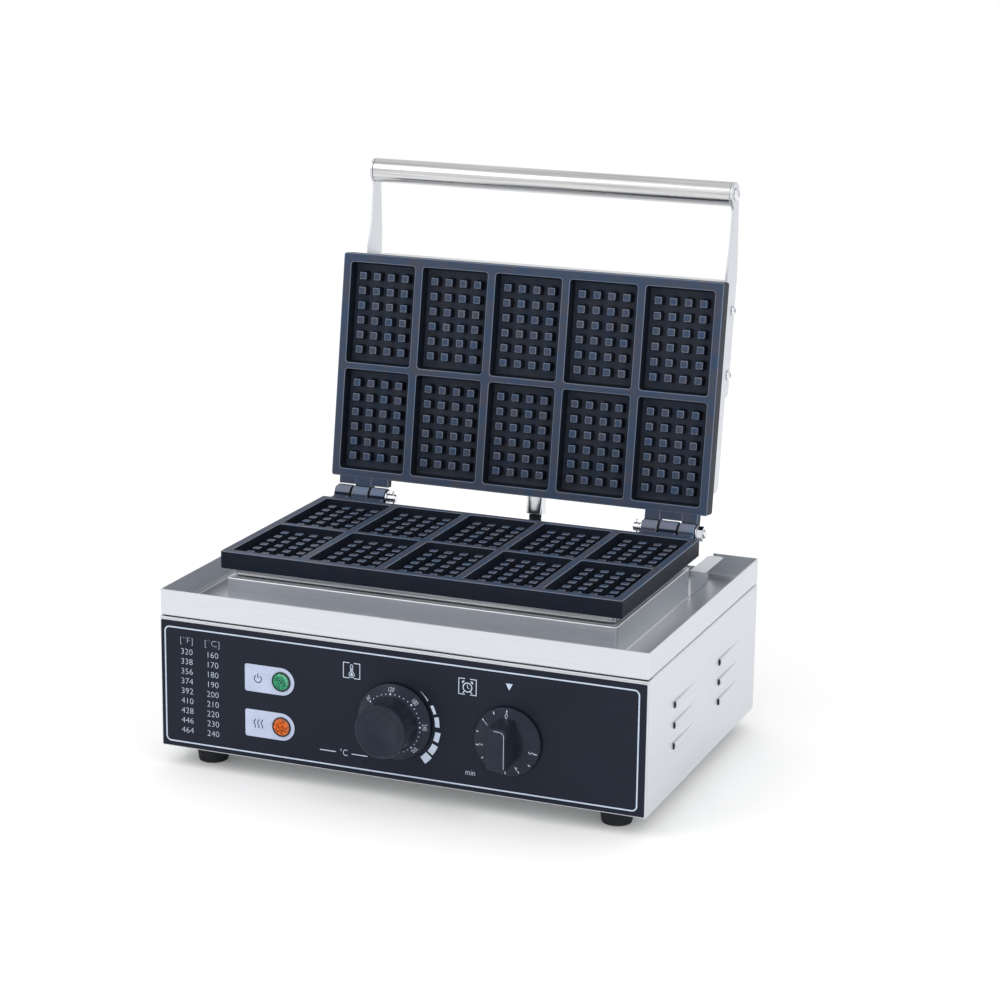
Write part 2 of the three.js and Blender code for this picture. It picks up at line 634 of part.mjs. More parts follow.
// Pressed tray on top of the body: outer rim, moat, pedestal and a back wall that is low in between
function dripTray() {
  const inX = SIDE_X - SHEET;
  const inFront = FRONT_Y + SHEET;
  const inBack = BACK_Y - SHEET;
  const floorTop = TRAY_Z + SHEET;
  const notchX = PEDESTAL_X + NOTCH_GAP;
  const above = RIM_Z + OVERRUN;
  const below = TRAY_Z - OVERRUN;
  const rimBlock = block([-SIDE_X, SIDE_X], [FRONT_Y, BACK_Y], [TRAY_Z, RIM_Z]);
  const cuts = [
    block([-inX, inX], [inFront, inBack], [floorTop, above]),
    block([-notchX, notchX], [inBack - OVERRUN, BACK_Y + OVERRUN], [floorTop + BACK_LIP, above]),
  ];
  const pedestal = block(
    [-PEDESTAL_X, PEDESTAL_X], [PEDESTAL_FRONT, PEDESTAL_BACK], [TRAY_Z, PEDESTAL_Z]);
  const hollowX = PEDESTAL_X - SHEET;
  const hollow = block(
    [-hollowX, hollowX], [PEDESTAL_FRONT + SHEET, PEDESTAL_BACK - SHEET],
    [below, PEDESTAL_Z - SHEET]);
  const mouth = block(
    [PEDESTAL_FLANGE - hollowX, hollowX - PEDESTAL_FLANGE],
    [PEDESTAL_FRONT + SHEET + PEDESTAL_FLANGE, PEDESTAL_BACK - SHEET - PEDESTAL_FLANGE],
    [PEDESTAL_Z - OVERRUN, PEDESTAL_Z + OVERRUN]);
  const studHoles = STUD_PLACES.map((place) => rod(
    'z', STUD_RADIUS + HOLE_CLEARANCE, [PEDESTAL_Z - OVERRUN, PEDESTAL_Z + OVERRUN], place, COARSE));
  const wireHole = rod('z', RISER_BORE, [below, floorTop + OVERRUN], [CONDUIT_X, RISER_Y], COARSE);
  return cut(cut(rimBlock, cuts).add(pedestal), [hollow, mouth, wireHole, ...studHoles]);
}

// Angle that stands on the tray behind the pedestal, its flange out over the moat
function rearBracket(side) {
  const inner = PEDESTAL_X + SEAT;
  const legX = [inner, inner + BRACKET_SHEET];
  const start = HINGE_Y - BRACKET_TO_HINGE;
  const top = RIM_Z + SEAT + BRACKET_SHEET;
  const outline = roundedOutline(BRACKET_FLANGE, BRACKET_LENGTH, BRACKET_CORNER);
  const flange = extruded(outline, BRACKET_SHEET);
  flange.translate(inner + BRACKET_FLANGE / 2, start + BRACKET_LENGTH / 2, RIM_Z + SEAT);
  const leg = block(
    legX, [start + BRACKET_CORNER, start + BRACKET_LENGTH - BRACKET_CORNER],
    [TRAY_Z + SHEET + SEAT, top]);
  const bracket = solidOf(flange).add(leg);
  return side > 0 ? bracket : solidOf(geometryOf(bracket).scale(-1, 1, 1));
}

function heaterPan() {
  const shell = block([-PAN_X, PAN_X], [PAN_FRONT, PAN_BACK], [PAN_Z, PAN_Z + PAN_HEIGHT]);
  const inX = PAN_X - PAN_SHEET;
  const inside = block(
    [-inX, inX], [PAN_FRONT + PAN_SHEET, PAN_BACK - PAN_SHEET],
    [PAN_Z + PAN_SHEET, PAN_Z + PAN_HEIGHT + OVERRUN]);
  const through = [PAN_Z - OVERRUN, PAN_Z + PAN_HEIGHT];
  const holes = STUD_PLACES.map((place) => rod(
    'z', STUD_RADIUS + HOLE_CLEARANCE, through, place, COARSE));
  const wireX = PAN_X * WIRE_HOLE_SHARES[0];
  for (const x of [-wireX, 0, wireX]) {
    holes.push(rod('z', WIRE_HOLE_RADIUS, through, [x, WIRE_HOLE_Y], COARSE));
  }
  return cut(shell, [inside, ...holes]);
}

function plateStud(place) {
  const nutTop = PEDESTAL_Z - SHEET - SEAT;
  return fastener('z', place, STUD_RADIUS,
    [PLATE_BOTTOM - SEAT, nutTop - NUT_HEIGHT - THREAD_PAST_NUT], [0, 0],
    [nutTop - NUT_HEIGHT, nutTop]);
}

// Chrome pin through the three knuckles, with a nut outside and a split pin inside
function hingePin(side) {
  const inner = FORK_INNER - PIN_TAIL;
  const nut = HINGE_OUTER + SEAT + PIN_WASHER;
  const spans = [
    [PIN_RADIUS, [inner, nut + PIN_NUT + THREAD_PAST_NUT], COARSE],
    [PIN_NUT_RADIUS, [HINGE_OUTER + SEAT, nut], COARSE],
    [PIN_NUT_RADIUS, [nut, nut + PIN_NUT], HEX],
    [PIN_NUT_RADIUS, [FORK_INNER - SEAT - PIN_WASHER, FORK_INNER - SEAT], COARSE],
  ];
  const cotterX = inner + PIN_TAIL / 3;
  const pieces = spans.map(([radius, [x0, x1], sides]) => rod(
    'x', radius, side > 0 ? [x0, x1] : [-x1, -x0], [HINGE_Y, HINGE_Z], sides));
  pieces.push(rod('z', COTTER_RADIUS, [HINGE_Z - COTTER_REACH, HINGE_Z + COTTER_REACH],
    [side * cotterX, HINGE_Y], COARSE));
  return join(pieces);
}

// The conduit follows one line, straight down out of the open lid
const OPEN_TURN = THREE.MathUtils.degToRad(OPEN_ANGLE);
const openPoint = (s, d) => new THREE.Vector3(
  CONDUIT_X,
  HINGE_Y - s * Math.cos(OPEN_TURN) + d * Math.sin(OPEN_TURN),
  HINGE_Z + s * Math.sin(OPEN_TURN) + d * Math.cos(OPEN_TURN));
const SLEEVE_END = COVER_NEAR - SLEEVE_LENGTH;
const HOSE_TOP = openPoint(SLEEVE_END - SEAT, CONDUIT_D);
const HOSE_MIDDLE = openPoint(SLEEVE_END - SEAT - HOSE_LENGTH / 2, CONDUIT_D);
const RISER_Y = HOSE_MIDDLE.y;
const RISER_TOP = HOSE_TOP.z - HOSE_LENGTH - SEAT;
const STUD_PLACES = [-1, 1].flatMap((side) => [
  [side * STUD_X, PEDESTAL_FRONT + STUD_INSET],
  [side * STUD_X, PEDESTAL_BACK - STUD_INSET],
]);
const WIRE_HOLE_Y = PAN_FRONT + (PAN_BACK - PAN_FRONT) * WIRE_HOLE_SHARES[1];

function conduitRiser() {
  const foundation = TRAY_Z + SHEET + SEAT;
  const place = [CONDUIT_X, RISER_Y];
  const outside = join([
    rod('z', RISER_RADIUS, [foundation, RISER_TOP], place),
    rod('z', RISER_FLANGE_RADIUS, [foundation, foundation + RISER_FLANGE], place),
    rod('z', RISER_BUSH_RADIUS, [RISER_TOP - RISER_BUSH, RISER_TOP], place),
  ]);
  return outside.subtract(
    rod('z', RISER_BORE, [foundation - OVERRUN, RISER_TOP + OVERRUN], place, COARSE));
}

function conduitHose() {
  const foot = new THREE.Vector3(CONDUIT_X, RISER_Y, RISER_TOP + SEAT);
  const route = new THREE.QuadraticBezierCurve3(foot, HOSE_MIDDLE, HOSE_TOP);
  return bentRod(route, HOSE_RADIUS, COARSE, HOSE_STEPS);
}

// Pieces of the lid in its own frame: the hinge axis along X through the origin, -Y towards
// the handle and +Z out of the back of the upper plate, as the lid lies when it is shut
function lidCover() {
  const length = PLATE_FAR - COVER_NEAR;
  const middle = -(PLATE_FAR + COVER_NEAR) / 2;
  const outer = extruded(roundedOutline(2 * COVER_X, length, COVER_CORNER), COVER_DEPTH);
  const inner = extruded(
    roundedOutline(2 * (COVER_X - SHEET), length - 2 * SHEET, COVER_CORNER - SHEET), COVER_DEPTH);
  const shell = solidOf(outer.translate(0, middle, COVER_RIM));
  const hollow = solidOf(inner.translate(0, middle, COVER_RIM - SHEET));
  const sleeveHole = rod('y', SLEEVE_RADIUS + SEAT,
    [-COVER_NEAR - SHEET - OVERRUN, OVERRUN - COVER_NEAR], [CONDUIT_X, CONDUIT_D]);
  return cut(shell, [hollow, sleeveHole, ...armScrewHoles()]);
}

function armScrewHoles() {
  const x = ARM_X + ARM_SHEET + OVERRUN;
  return ARM_SCREW_DROPS.map((drop) => rod(
    'x', SCREW_RADIUS + HOLE_CLEARANCE, [-x, x], [drop - PLATE_FAR, ARM_TOP - ARM_SCREW_INSET],
    COARSE));
}

function heatShield() {
  const x = COVER_X - SHEET - SHIELD_INSET;
  const low = PLATE_BACK + SEAT + HEATER_DIAMETER + SEAT;
  return block(
    [-x, x], [SHEET + SHIELD_INSET - PLATE_FAR, -COVER_NEAR - SHEET - SHIELD_INSET],
    [low, low + SHIELD_SHEET]);
}

function handleArm(side) {
  const low = PLATE_FAR - ARM_REACH_DOWN;
  const base = ARM_TOP - ARM_WIDTH;
  const shoulder = PLATE_FAR + ARM_SHOULDER;
  const neck = shoulder + ARM_TAPER;
  const half = ARM_NECK / 2;
  const turn = Math.PI - Math.asin(half / BAR_RADIUS);
  const shape = new THREE.Shape();
  shape.moveTo(low + ARM_CORNER, base);
  shape.lineTo(shoulder, base);
  shape.lineTo(neck, BAR_D - half);
  shape.absarc(BAR_S, BAR_D, BAR_RADIUS, -turn, turn);
  shape.lineTo(neck, BAR_D + half);
  shape.lineTo(shoulder, ARM_TOP);
  shape.lineTo(low + ARM_CORNER, ARM_TOP);
  shape.absarc(low + ARM_CORNER, ARM_TOP - ARM_CORNER, ARM_CORNER, Math.PI / 2, Math.PI);
  shape.absarc(low + ARM_CORNER, base + ARM_CORNER, ARM_CORNER, Math.PI, 1.5 * Math.PI);
  const strip = extruded(shape, ARM_SHEET, ARM_STEPS);
  const basis = new THREE.Matrix4().makeBasis(
    new THREE.Vector3(0, -1, 0), new THREE.Vector3(0, 0, 1), new THREE.Vector3(-1, 0, 0));
  strip.applyMatrix4(basis).translate(side > 0 ? ARM_X + ARM_SHEET : -ARM_X, 0, 0);
  const x = ARM_X + ARM_SHEET + OVERRUN;
  const barHole = rod('x', BAR_SCREW_RADIUS + HOLE_CLEARANCE, [-x, x], [-BAR_S, BAR_D], COARSE);
  return cut(solidOf(strip), [barHole, ...armScrewHoles()]);
}

function handleBar() {
  const half = ARM_X - SEAT;
  const place = [-BAR_S, BAR_D];
  const hollow = half - BAR_PLUG;
  return cut(rod('x', BAR_RADIUS, [-half, half], place, FINE), [
    rod('x', BAR_RADIUS - BAR_WALL, [-hollow, hollow], place),
    rod('x', BAR_SCREW_RADIUS + HOLE_CLEARANCE, [-half - OVERRUN, half + OVERRUN], place, COARSE),
  ]);
}

function armScrew(side, drop) {
  const outside = side * (ARM_X + ARM_SHEET + SEAT);
  const inside = side * (COVER_X - SHEET - SEAT);
  const place = [drop - PLATE_FAR, ARM_TOP - ARM_SCREW_INSET];
  return fastener('x', place, SCREW_RADIUS,
    [outside + side * SCREW_HEAD, inside - side * (NUT_HEIGHT + THREAD_PAST_NUT)],
    [SCREW_HEAD_RADIUS, SCREW_HEAD], [inside, inside - side * NUT_HEIGHT]);
}

function barScrew(side) {
  const outside = side * (ARM_X + ARM_SHEET + SEAT);
  return fastener('x', [-BAR_S, BAR_D], BAR_SCREW_RADIUS,
    [outside + side * BAR_SCREW_HEAD, side * (ARM_X - BAR_PLUG)],
    [BAR_SCREW_HEAD_RADIUS, BAR_SCREW_HEAD], null);
}

function conduitSleeve() {
  const place = [CONDUIT_X, CONDUIT_D];
  const inside = -COVER_NEAR - SHEET - SLEEVE_INSIDE;
  const collar = SEAT - COVER_NEAR;
  const outer = join([
    rod('y', SLEEVE_RADIUS, [inside, -SLEEVE_END], place),
    rod('y', SLEEVE_COLLAR_RADIUS, [collar, collar + SLEEVE_COLLAR], place),
  ]);
  return outer.subtract(
    rod('y', SLEEVE_RADIUS - SLEEVE_WALL, [inside - OVERRUN, OVERRUN - SLEEVE_END], place));
}

// Dials, each in the frame of its shaft: the shaft along Y, the front panel's face at 0
function dialBore() {
  const reach = FRONT_Y - FASCIA_Y + DIAL_STANDOFF;
  return rod('y', DIAL_SHAFT_RADIUS + SEAT, [-reach - DIAL_BORE, OVERRUN - reach], [0, 0], COARSE);
}

function temperatureDial() {
  const back = FRONT_Y - FASCIA_Y + DIAL_STANDOFF;
  const front = back + TEMPERATURE_DEPTH;
  const rim = SKIRT_EDGE / 2;
  const skirt = TEMPERATURE_GRIP_RADIUS + SKIRT_EDGE / 2;
  const profile = [
    [0, back],
    [TEMPERATURE_RADIUS - rim, back],
    [TEMPERATURE_RADIUS, back + rim],
    [TEMPERATURE_RADIUS - rim, back + SKIRT_EDGE],
    [skirt, back + SKIRT_RISE],
    [TEMPERATURE_GRIP_RADIUS, back + SKIRT_RISE + rim],
    [TEMPERATURE_GRIP_RADIUS - rim, front - SKIRT_EDGE],
    [TEMPERATURE_GRIP_RADIUS - 2 * SKIRT_EDGE, front],
    [TEMPERATURE_GRIP_RADIUS / 2, front - SKIRT_EDGE / 3],
    [0, front],
  ];
  return solidOf(turned(profile)).subtract(dialBore());
}

function timerDial() {
  const back = FRONT_Y - FASCIA_Y + DIAL_STANDOFF;
  const front = back + TIMER_DEPTH;
  const rim = SKIRT_EDGE / 2;
  const profile = [
    [0, back],
    [TIMER_RADIUS - rim, back],
    [TIMER_RADIUS, back + rim],
    [TIMER_RADIUS - rim, back + SKIRT_EDGE],
    [TIMER_BASE_RADIUS + rim, back + SKIRT_RISE - rim],
    [TIMER_BASE_RADIUS, back + SKIRT_RISE + rim],
    [0, back + SKIRT_RISE + rim],
  ];
  const height = front - back - rim;
  const grip = taperedBlock(TIMER_GRIP_WIDTH, TIMER_GRIP_LENGTH, height, rim);
  grip.rotateX(-Math.PI / 2).translate(0, -back - rim - height / 2, 0);
  return join([solidOf(turned(profile)), solidOf(grip)]).subtract(dialBore());
}

function dialShaft(bodyFront) {
  const reach = FRONT_Y - FASCIA_Y + DIAL_STANDOFF + DIAL_BORE - SEAT;
  return rod('y', DIAL_SHAFT_RADIUS, [-reach, bodyFront + SHAFT_GRIP - SEAT], [0, 0], COARSE);
}

function switchBody([x, z], width, height, depth) {
  const start = PANEL_BACK + SEAT;
  const body = block([x - width / 2, x + width / 2], [start, start + depth],
    [z - height / 2, z + height / 2]);
  return body.subtract(rod('y', DIAL_SHAFT_RADIUS + RUNNING_CLEARANCE,
    [start - OVERRUN, start + SHAFT_GRIP], [x, z], COARSE));
}

function lampLens(z) {
  const back = SHEET - SEAT;
  const front = FRONT_Y - FASCIA_Y + LAMP_RISE;
  const profile = [
    [0, -back],
    [LAMP_RADIUS, -back],
    [LAMP_RADIUS, front - LAMP_RISE / 2],
    [LAMP_RADIUS / 2, front],
    [0, front],
  ];
  return solidOf(turned(profile, ROUND).translate(-LAMP_OFFSET, FRONT_Y, z));
}

function lampBody(z) {
  const start = PANEL_BACK + SEAT;
  const place = [-LAMP_OFFSET, z];
  return join([
    rod('y', LAMP_BODY_RADIUS, [start, start + LAMP_FLANGE], place, COARSE),
    rod('y', LAMP_RADIUS, [start, start + LAMP_BODY_LENGTH], place, COARSE),
  ]);
}

function thermostatBulb() {
  const z = PLATE_BOTTOM - SEAT - HEATER_DIAMETER / 2;
  const bulbEnd = WIRE_HOLE_Y - 3 * WIRE_HOLE_RADIUS;
  const top = DIAL_PLACES.thermostat[1] + THERMOSTAT_HEIGHT / 2 + SEAT;
  const bodyY = PANEL_BACK + SEAT + THERMOSTAT_DEPTH / 2;
  const route = new THREE.CatmullRomCurve3([
    new THREE.Vector3(0, bulbEnd - OVERRUN, z),
    new THREE.Vector3(0, bulbEnd + WIRE_HOLE_RADIUS, z),
    new THREE.Vector3(0, WIRE_HOLE_Y, PAN_Z),
    new THREE.Vector3(0, WIRE_HOLE_Y - WIRE_HOLE_RADIUS, TRAY_Z),
    new THREE.Vector3(0, (WIRE_HOLE_Y + bodyY) / 2, (TRAY_Z + top) / 2),
    new THREE.Vector3(0, bodyY + WIRE_HOLE_RADIUS, top + 2 * WIRE_HOLE_RADIUS),
    new THREE.Vector3(0, bodyY, top + WIRE_HOLE_RADIUS),
    new THREE.Vector3(0, bodyY, top),
  ]);
  return join([
    rod('y', BULB_RADIUS, [bulbEnd - BULB_LENGTH, bulbEnd], [0, z], COARSE),
    bentRod(route, CAPILLARY_RADIUS, HEX, CAPILLARY_STEPS),
  ]);
}

function terminalBlock() {
  const x = SIDE_X - BLOCK_INSET_X;
  const y = BACK_Y - BLOCK_INSET_Y;
  const low = FLOOR_TOP + SEAT;
  const body = block([x - BLOCK_LENGTH / 2, x + BLOCK_LENGTH / 2],
    [y - BLOCK_WIDTH / 2, y + BLOCK_WIDTH / 2], [low, low + BLOCK_HEIGHT]);
  const bores = [];
  for (let i = 0; i < BLOCK_POLES; i += 1) {
    const poleX = x + (i - (BLOCK_POLES - 1) / 2) * (BLOCK_LENGTH / BLOCK_POLES);
    bores.push(rod('y', BLOCK_BORE_RADIUS,
      [y - BLOCK_WIDTH / 2 - OVERRUN, y + BLOCK_WIDTH / 2 + OVERRUN],
      [poleX, low + BLOCK_HEIGHT / 2], COARSE));
  }
  return cut(body, bores);
}

function cableGland() {
  const place = [SIDE_X - BLOCK_INSET_X, BODY_Z + GLAND_HEIGHT];
  const head = BACK_Y + SEAT;
  const dome = head + GLAND_HEAD;
  const nut = BACK_Y - SHEET - SEAT;
  return join([
    rod('y', GLAND_RADIUS, [nut - GLAND_NUT, dome + GLAND_DOME], place),
    rod('y', GLAND_HEAD_RADIUS, [head, dome], place, HEX),
    rod('y', GLAND_HEAD_RADIUS, [nut - GLAND_NUT, nut], place, HEX),
  ]).subtract(rod(
    'y', GLAND_BORE, [nut - GLAND_NUT - OVERRUN, dome + GLAND_DOME + OVERRUN], place, COARSE));
}

// The base
const machine = new THREE.Group();
addPart(machine, 'body_wrap', bodyWrap(), FINISHES.steel);
addPart(machine, 'front_panel', frontPanel(), FINISHES.steel);
addPart(machine, 'control_fascia', controlFascia(), FINISHES.fascia);
addPart(machine, 'bottom_plate', bottomPlate(), FINISHES.galvanised);
for (const { name, place } of FOOT_PLACES) {
  addPart(machine, `foot_${name}`, foot(place), FINISHES.rubber);
  addPart(machine, `foot_screw_${name}`, footScrew(place), FINISHES.galvanised);
}
addPart(machine, 'drip_tray', dripTray(), FINISHES.steel);
addPart(machine, 'rear_bracket_left', rearBracket(-1), FINISHES.steel);
addPart(machine, 'rear_bracket_right', rearBracket(1), FINISHES.steel);
addPart(machine, 'lower_heater_pan', heaterPan(), FINISHES.galvanised);
STUD_PLACES.forEach((place, i) => {
  addPart(machine, `plate_stud_${i + 1}`, plateStud(place), FINISHES.galvanised);
});
addPart(machine, 'hinge_pin_left', hingePin(-1), FINISHES.chrome);
addPart(machine, 'hinge_pin_right', hingePin(1), FINISHES.chrome);
addPart(machine, 'conduit_riser', conduitRiser(), FINISHES.galvanised);
addPart(machine, 'conduit_hose', conduitHose(), FINISHES.rubber);
addPart(machine, 'thermostat_body', switchBody(
  DIAL_PLACES.thermostat, THERMOSTAT_WIDTH, THERMOSTAT_HEIGHT, THERMOSTAT_DEPTH), FINISHES.ceramic);
addPart(machine, 'timer_body', switchBody(
  DIAL_PLACES.timer, TIMER_BODY_WIDTH, TIMER_BODY_WIDTH, TIMER_BODY_DEPTH), FINISHES.blackPlastic);
addPart(machine, 'thermostat_bulb', thermostatBulb(), FINISHES.copper);
['power', 'heat'].forEach((lamp, i) => {
  const z = BODY_Z + LAMP_HEIGHTS[i];
  const lens = i === 0 ? FINISHES.greenLens : FINISHES.orangeLens;
  addPart(machine, `${lamp}_lamp_lens`, lampLens(z), lens);
  addPart(machine, `${lamp}_lamp_body`, lampBody(z), FINISHES.blackPlastic);
});
addPart(machine, 'terminal_block', terminalBlock(), FINISHES.ceramic);
addPart(machine, 'cable_gland', cableGland(), FINISHES.blackPlastic);

const plate = castPlate();
const element = heatingElement();
addPart(machine, 'lower_plate', plate, FINISHES.nonStick).position.set(0, HINGE_Y, HINGE_Z);
addPart(machine, 'lower_heater', element, FINISHES.heater).position.set(0, HINGE_Y, HINGE_Z);

// The lid, turned back about the hinge
const lid = new THREE.Group();
lid.position.set(0, HINGE_Y, HINGE_Z);
lid.rotation.x = -OPEN_TURN;
machine.add(lid);
addPart(lid, 'upper_plate', plate, FINISHES.nonStick).rotation.y = Math.PI;
addPart(lid, 'upper_heater', element, FINISHES.heater).rotation.y = Math.PI;
addPart(lid, 'lid_heat_shield', heatShield(), FINISHES.galvanised);
addPart(lid, 'lid_cover', lidCover(), FINISHES.steel);
for (const [name, side] of [['left', -1], ['right', 1]]) {
  addPart(lid, `handle_arm_${name}`, handleArm(side), FINISHES.steel);
  addPart(lid, `bar_screw_${name}`, barScrew(side), FINISHES.chrome);
  ARM_SCREW_DROPS.forEach((drop, i) => {
    addPart(lid, `arm_screw_${name}_${i + 1}`, armScrew(side, drop), FINISHES.chrome);
  });
}
addPart(lid, 'handle_bar', handleBar(), FINISHES.brightSteel);
addPart(lid, 'conduit_sleeve', conduitSleeve(), FINISHES.chrome);

// The two dials, each turning with its shaft
const bodyFront = SHEET + SEAT;
const dials = [
  ['temperature_dial', 'thermostat_shaft', temperatureDial(), DIAL_PLACES.thermostat],
  ['timer_dial', 'timer_shaft', timerDial(), DIAL_PLACES.timer],
];
for (const [dialName, shaftName, solid, [x, z]] of dials) {
  const dial = new THREE.Group();
  dial.position.set(x, FRONT_Y, z);
  machine.add(dial);
  addPart(dial, dialName, solid, FINISHES.dial);
  addPart(dial, shaftName, dialShaft(bodyFront), FINISHES.galvanised);
}

// The origin is under the middle of the whole machine as it stands, at the feet
const waffleMaker = new THREE.Group();
waffleMaker.add(machine);
const extent = new THREE.Box3().setFromObject(machine, true);
machine.position.y = -(extent.min.y + extent.max.y) / 2;

export default waffleMaker;
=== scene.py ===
"""Looks of a counter-top belgian waffle maker with its lid open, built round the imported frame.

Places come from the CAD nodes. Sizes are in millimetres and become metres when a piece is finished.
"""

from __future__ import annotations

import functools
import json
import logging
import math
from collections.abc import Callable, Iterable, Sequence
from dataclasses import dataclass
from enum import Enum

import bmesh
import bpy
from mathutils import Matrix, Vector


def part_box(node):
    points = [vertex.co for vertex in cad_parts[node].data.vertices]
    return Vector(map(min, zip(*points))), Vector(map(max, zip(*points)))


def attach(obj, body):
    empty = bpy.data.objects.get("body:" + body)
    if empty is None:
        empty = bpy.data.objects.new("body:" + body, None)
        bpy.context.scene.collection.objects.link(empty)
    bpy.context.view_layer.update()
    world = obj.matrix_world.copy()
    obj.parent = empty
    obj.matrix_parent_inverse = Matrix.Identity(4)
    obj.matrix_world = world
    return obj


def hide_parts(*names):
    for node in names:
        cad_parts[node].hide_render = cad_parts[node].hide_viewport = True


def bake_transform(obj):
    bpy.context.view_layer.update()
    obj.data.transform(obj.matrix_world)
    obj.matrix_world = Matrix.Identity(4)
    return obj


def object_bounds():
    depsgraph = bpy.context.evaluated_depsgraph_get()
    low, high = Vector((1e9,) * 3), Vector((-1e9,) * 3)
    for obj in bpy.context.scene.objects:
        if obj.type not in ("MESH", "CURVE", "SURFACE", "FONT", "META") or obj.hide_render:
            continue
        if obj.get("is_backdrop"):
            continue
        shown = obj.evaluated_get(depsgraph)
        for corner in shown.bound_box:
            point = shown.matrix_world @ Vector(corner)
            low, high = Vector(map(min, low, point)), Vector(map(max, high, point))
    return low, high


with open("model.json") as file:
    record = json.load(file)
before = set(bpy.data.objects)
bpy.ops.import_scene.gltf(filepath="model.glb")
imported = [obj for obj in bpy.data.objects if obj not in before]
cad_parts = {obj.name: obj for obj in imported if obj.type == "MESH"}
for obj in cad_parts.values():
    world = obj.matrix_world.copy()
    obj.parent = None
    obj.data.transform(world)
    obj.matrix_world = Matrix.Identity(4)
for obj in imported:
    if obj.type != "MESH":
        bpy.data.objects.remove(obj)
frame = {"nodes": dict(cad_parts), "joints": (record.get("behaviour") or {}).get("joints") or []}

log = logging.getLogger("waffle_maker")
logging.basicConfig(level=logging.INFO, format="%(message)s")

Point = tuple[float, float]
Placer = Callable[[float, float, float], Vector]
Object = bpy.types.Object
Socket = bpy.types.NodeSocket
Ring = list[bmesh.types.BMVert]

MM = 0.001
ARC = 5  # steps round a rounded corner
PRINTED_ARC = 30  # steps along an arc in ink
TURN = 72  # steps round a turned piece
SHARP = 35.0  # degrees past which an edge stays sharp
CAPITAL = 0.72  # height of a capital as a share of the font size
PRINT_LIFT = 0.03  # ink above the face that carries it
UPWARD, LEVEL_FACE = 0.3, 0.98  # upward part of the normal of a floor, and of a level top face; they choose the tier of painted shade or painted highlight
WELD = 0.0005  # points that are closer become one
PLAIN_SKIN = 50.0  # clouds per metre in the gloss of a smooth finish
WHITE = (1.0, 1.0, 1.0, 1.0)
SHEET = 1.2
RIM_Z = 161.2  # top of the drip tray's rim
SIDE_X = 225.0  # outer face of the body's sides
CAD_HINGE_Y = 112.5  # of the hinge, in the frame in which the louvres' places were written

HINGE = next(j for j in frame["joints"] if j["name"] == "lid_hinge")
HINGE_AT = Vector(HINGE["pos_m"]) / MM
# Frame of the shut lid, hinge at the origin and handle towards -Y, turned to where the lid rests
LID = Matrix.Translation(HINGE_AT) @ Matrix.Rotation(-math.radians(HINGE["range_deg"][1]), 4, "X")


def box_mm(node: str) -> tuple[Vector, Vector]:
    """Lowest and highest corner of a CAD node in millimetres."""
    low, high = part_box(node)
    return low / MM, high / MM


def as_is(x: float, y: float, z: float) -> Vector:
    """Places a point where it says."""
    return Vector((x, y, z))


def to_front(x: float, y: float, z: float) -> Placer:
    """Placer for work seen from the front: u to the right, v up, w out towards the viewer."""
    return lambda u, v, w: Vector((x + u, y - w, z + v))


def along_x(y: float, z: float) -> Placer:
    """Placer for work seen from the side: u to the back, v up, w along X."""
    return lambda u, v, w: Vector((w, y + u, z + v))


# Outlines


def inset(points: Sequence[Point], distance: float) -> list[Point]:
    """Draws a counter-clockwise polygon in by a distance, with mitred corners."""
    drawn = []
    for i, here in enumerate(points):
        before, after = Vector(points[i - 1]), Vector(points[(i + 1) % len(points)])
        a = (Vector(here) - before).normalized()
        b = (after - Vector(here)).normalized()
        n1, n2 = Vector((-a.y, a.x)), Vector((-b.y, b.x))
        drawn.append(tuple(Vector(here) + (n1 + n2) * distance / (1 + n1.dot(n2))))
    return drawn


def rounded(points: Sequence[Point], radius: float, drawn_in: float = 0, steps: int = ARC) -> list[Point]:
    """Rounds the corners of a counter-clockwise polygon.

    Args:
        points: Corners of the polygon.
        radius: Radius of each corner before the outline is drawn in.
        drawn_in: How far the outline is drawn in; outer corners get tighter and inner ones wider.
        steps: Segments of each corner, the same for every outline that is bridged.

    Returns:
        Points of the rounded outline.
    """
    corners = [Vector(p) for p in (inset(points, drawn_in) if drawn_in else points)]
    out: list[Point] = []
    for i, here in enumerate(corners):
        a = (corners[i - 1] - here).normalized()
        b = (corners[(i + 1) % len(corners)] - here).normalized()
        half = a.angle(b) / 2
        outer = (-a.x * b.y + a.y * b.x) > 0
        r = max(radius - drawn_in if outer else radius + drawn_in, 0.05)
        start = a * (r / math.tan(half))
        centre = (a + b).normalized() * (r / math.sin(half))
        arm = start - centre
        sweep = (math.pi - 2 * half) * (1 if outer else -1)
        for k in range(steps + 1):
            t = sweep * k / steps
            turned = Vector((
                arm.x * math.cos(t) - arm.y * math.sin(t), arm.x * math.sin(t) + arm.y * math.cos(t)))
            out.append((here.x + centre.x + turned.x, here.y + centre.y + turned.y))
    return out


def rectangle(x0: float, x1: float, y0: float, y1: float) -> list[Point]:
    """Corners of a rectangle, counter-clockwise."""
    return [(x0, y0), (x1, y0), (x1, y1), (x0, y1)]


def arc(centre: Point, radius: float, start: float, end: float, steps: int = PRINTED_ARC) -> list[Point]:
    """Points of an arc between two angles in degrees."""
    angles = [math.radians(start + (end - start) * k / steps) for k in range(steps + 1)]
    return [(centre[0] + radius * math.cos(t), centre[1] + radius * math.sin(t)) for t in angles]


def circle(radius: float, steps: int) -> list[Point]:
    """Corners of a regular polygon round the origin."""
    return arc((0, 0), radius, 0, 360, steps)[:-1]


def quarter(steps: int) -> list[Point]:
    """A quarter round of radius 1, as what is left to go inwards and what is gone upwards."""
    angles = [math.pi / 2 * k / steps for k in range(steps + 1)]
    return [(1 - math.sin(t), 1 - math.cos(t)) for t in angles]


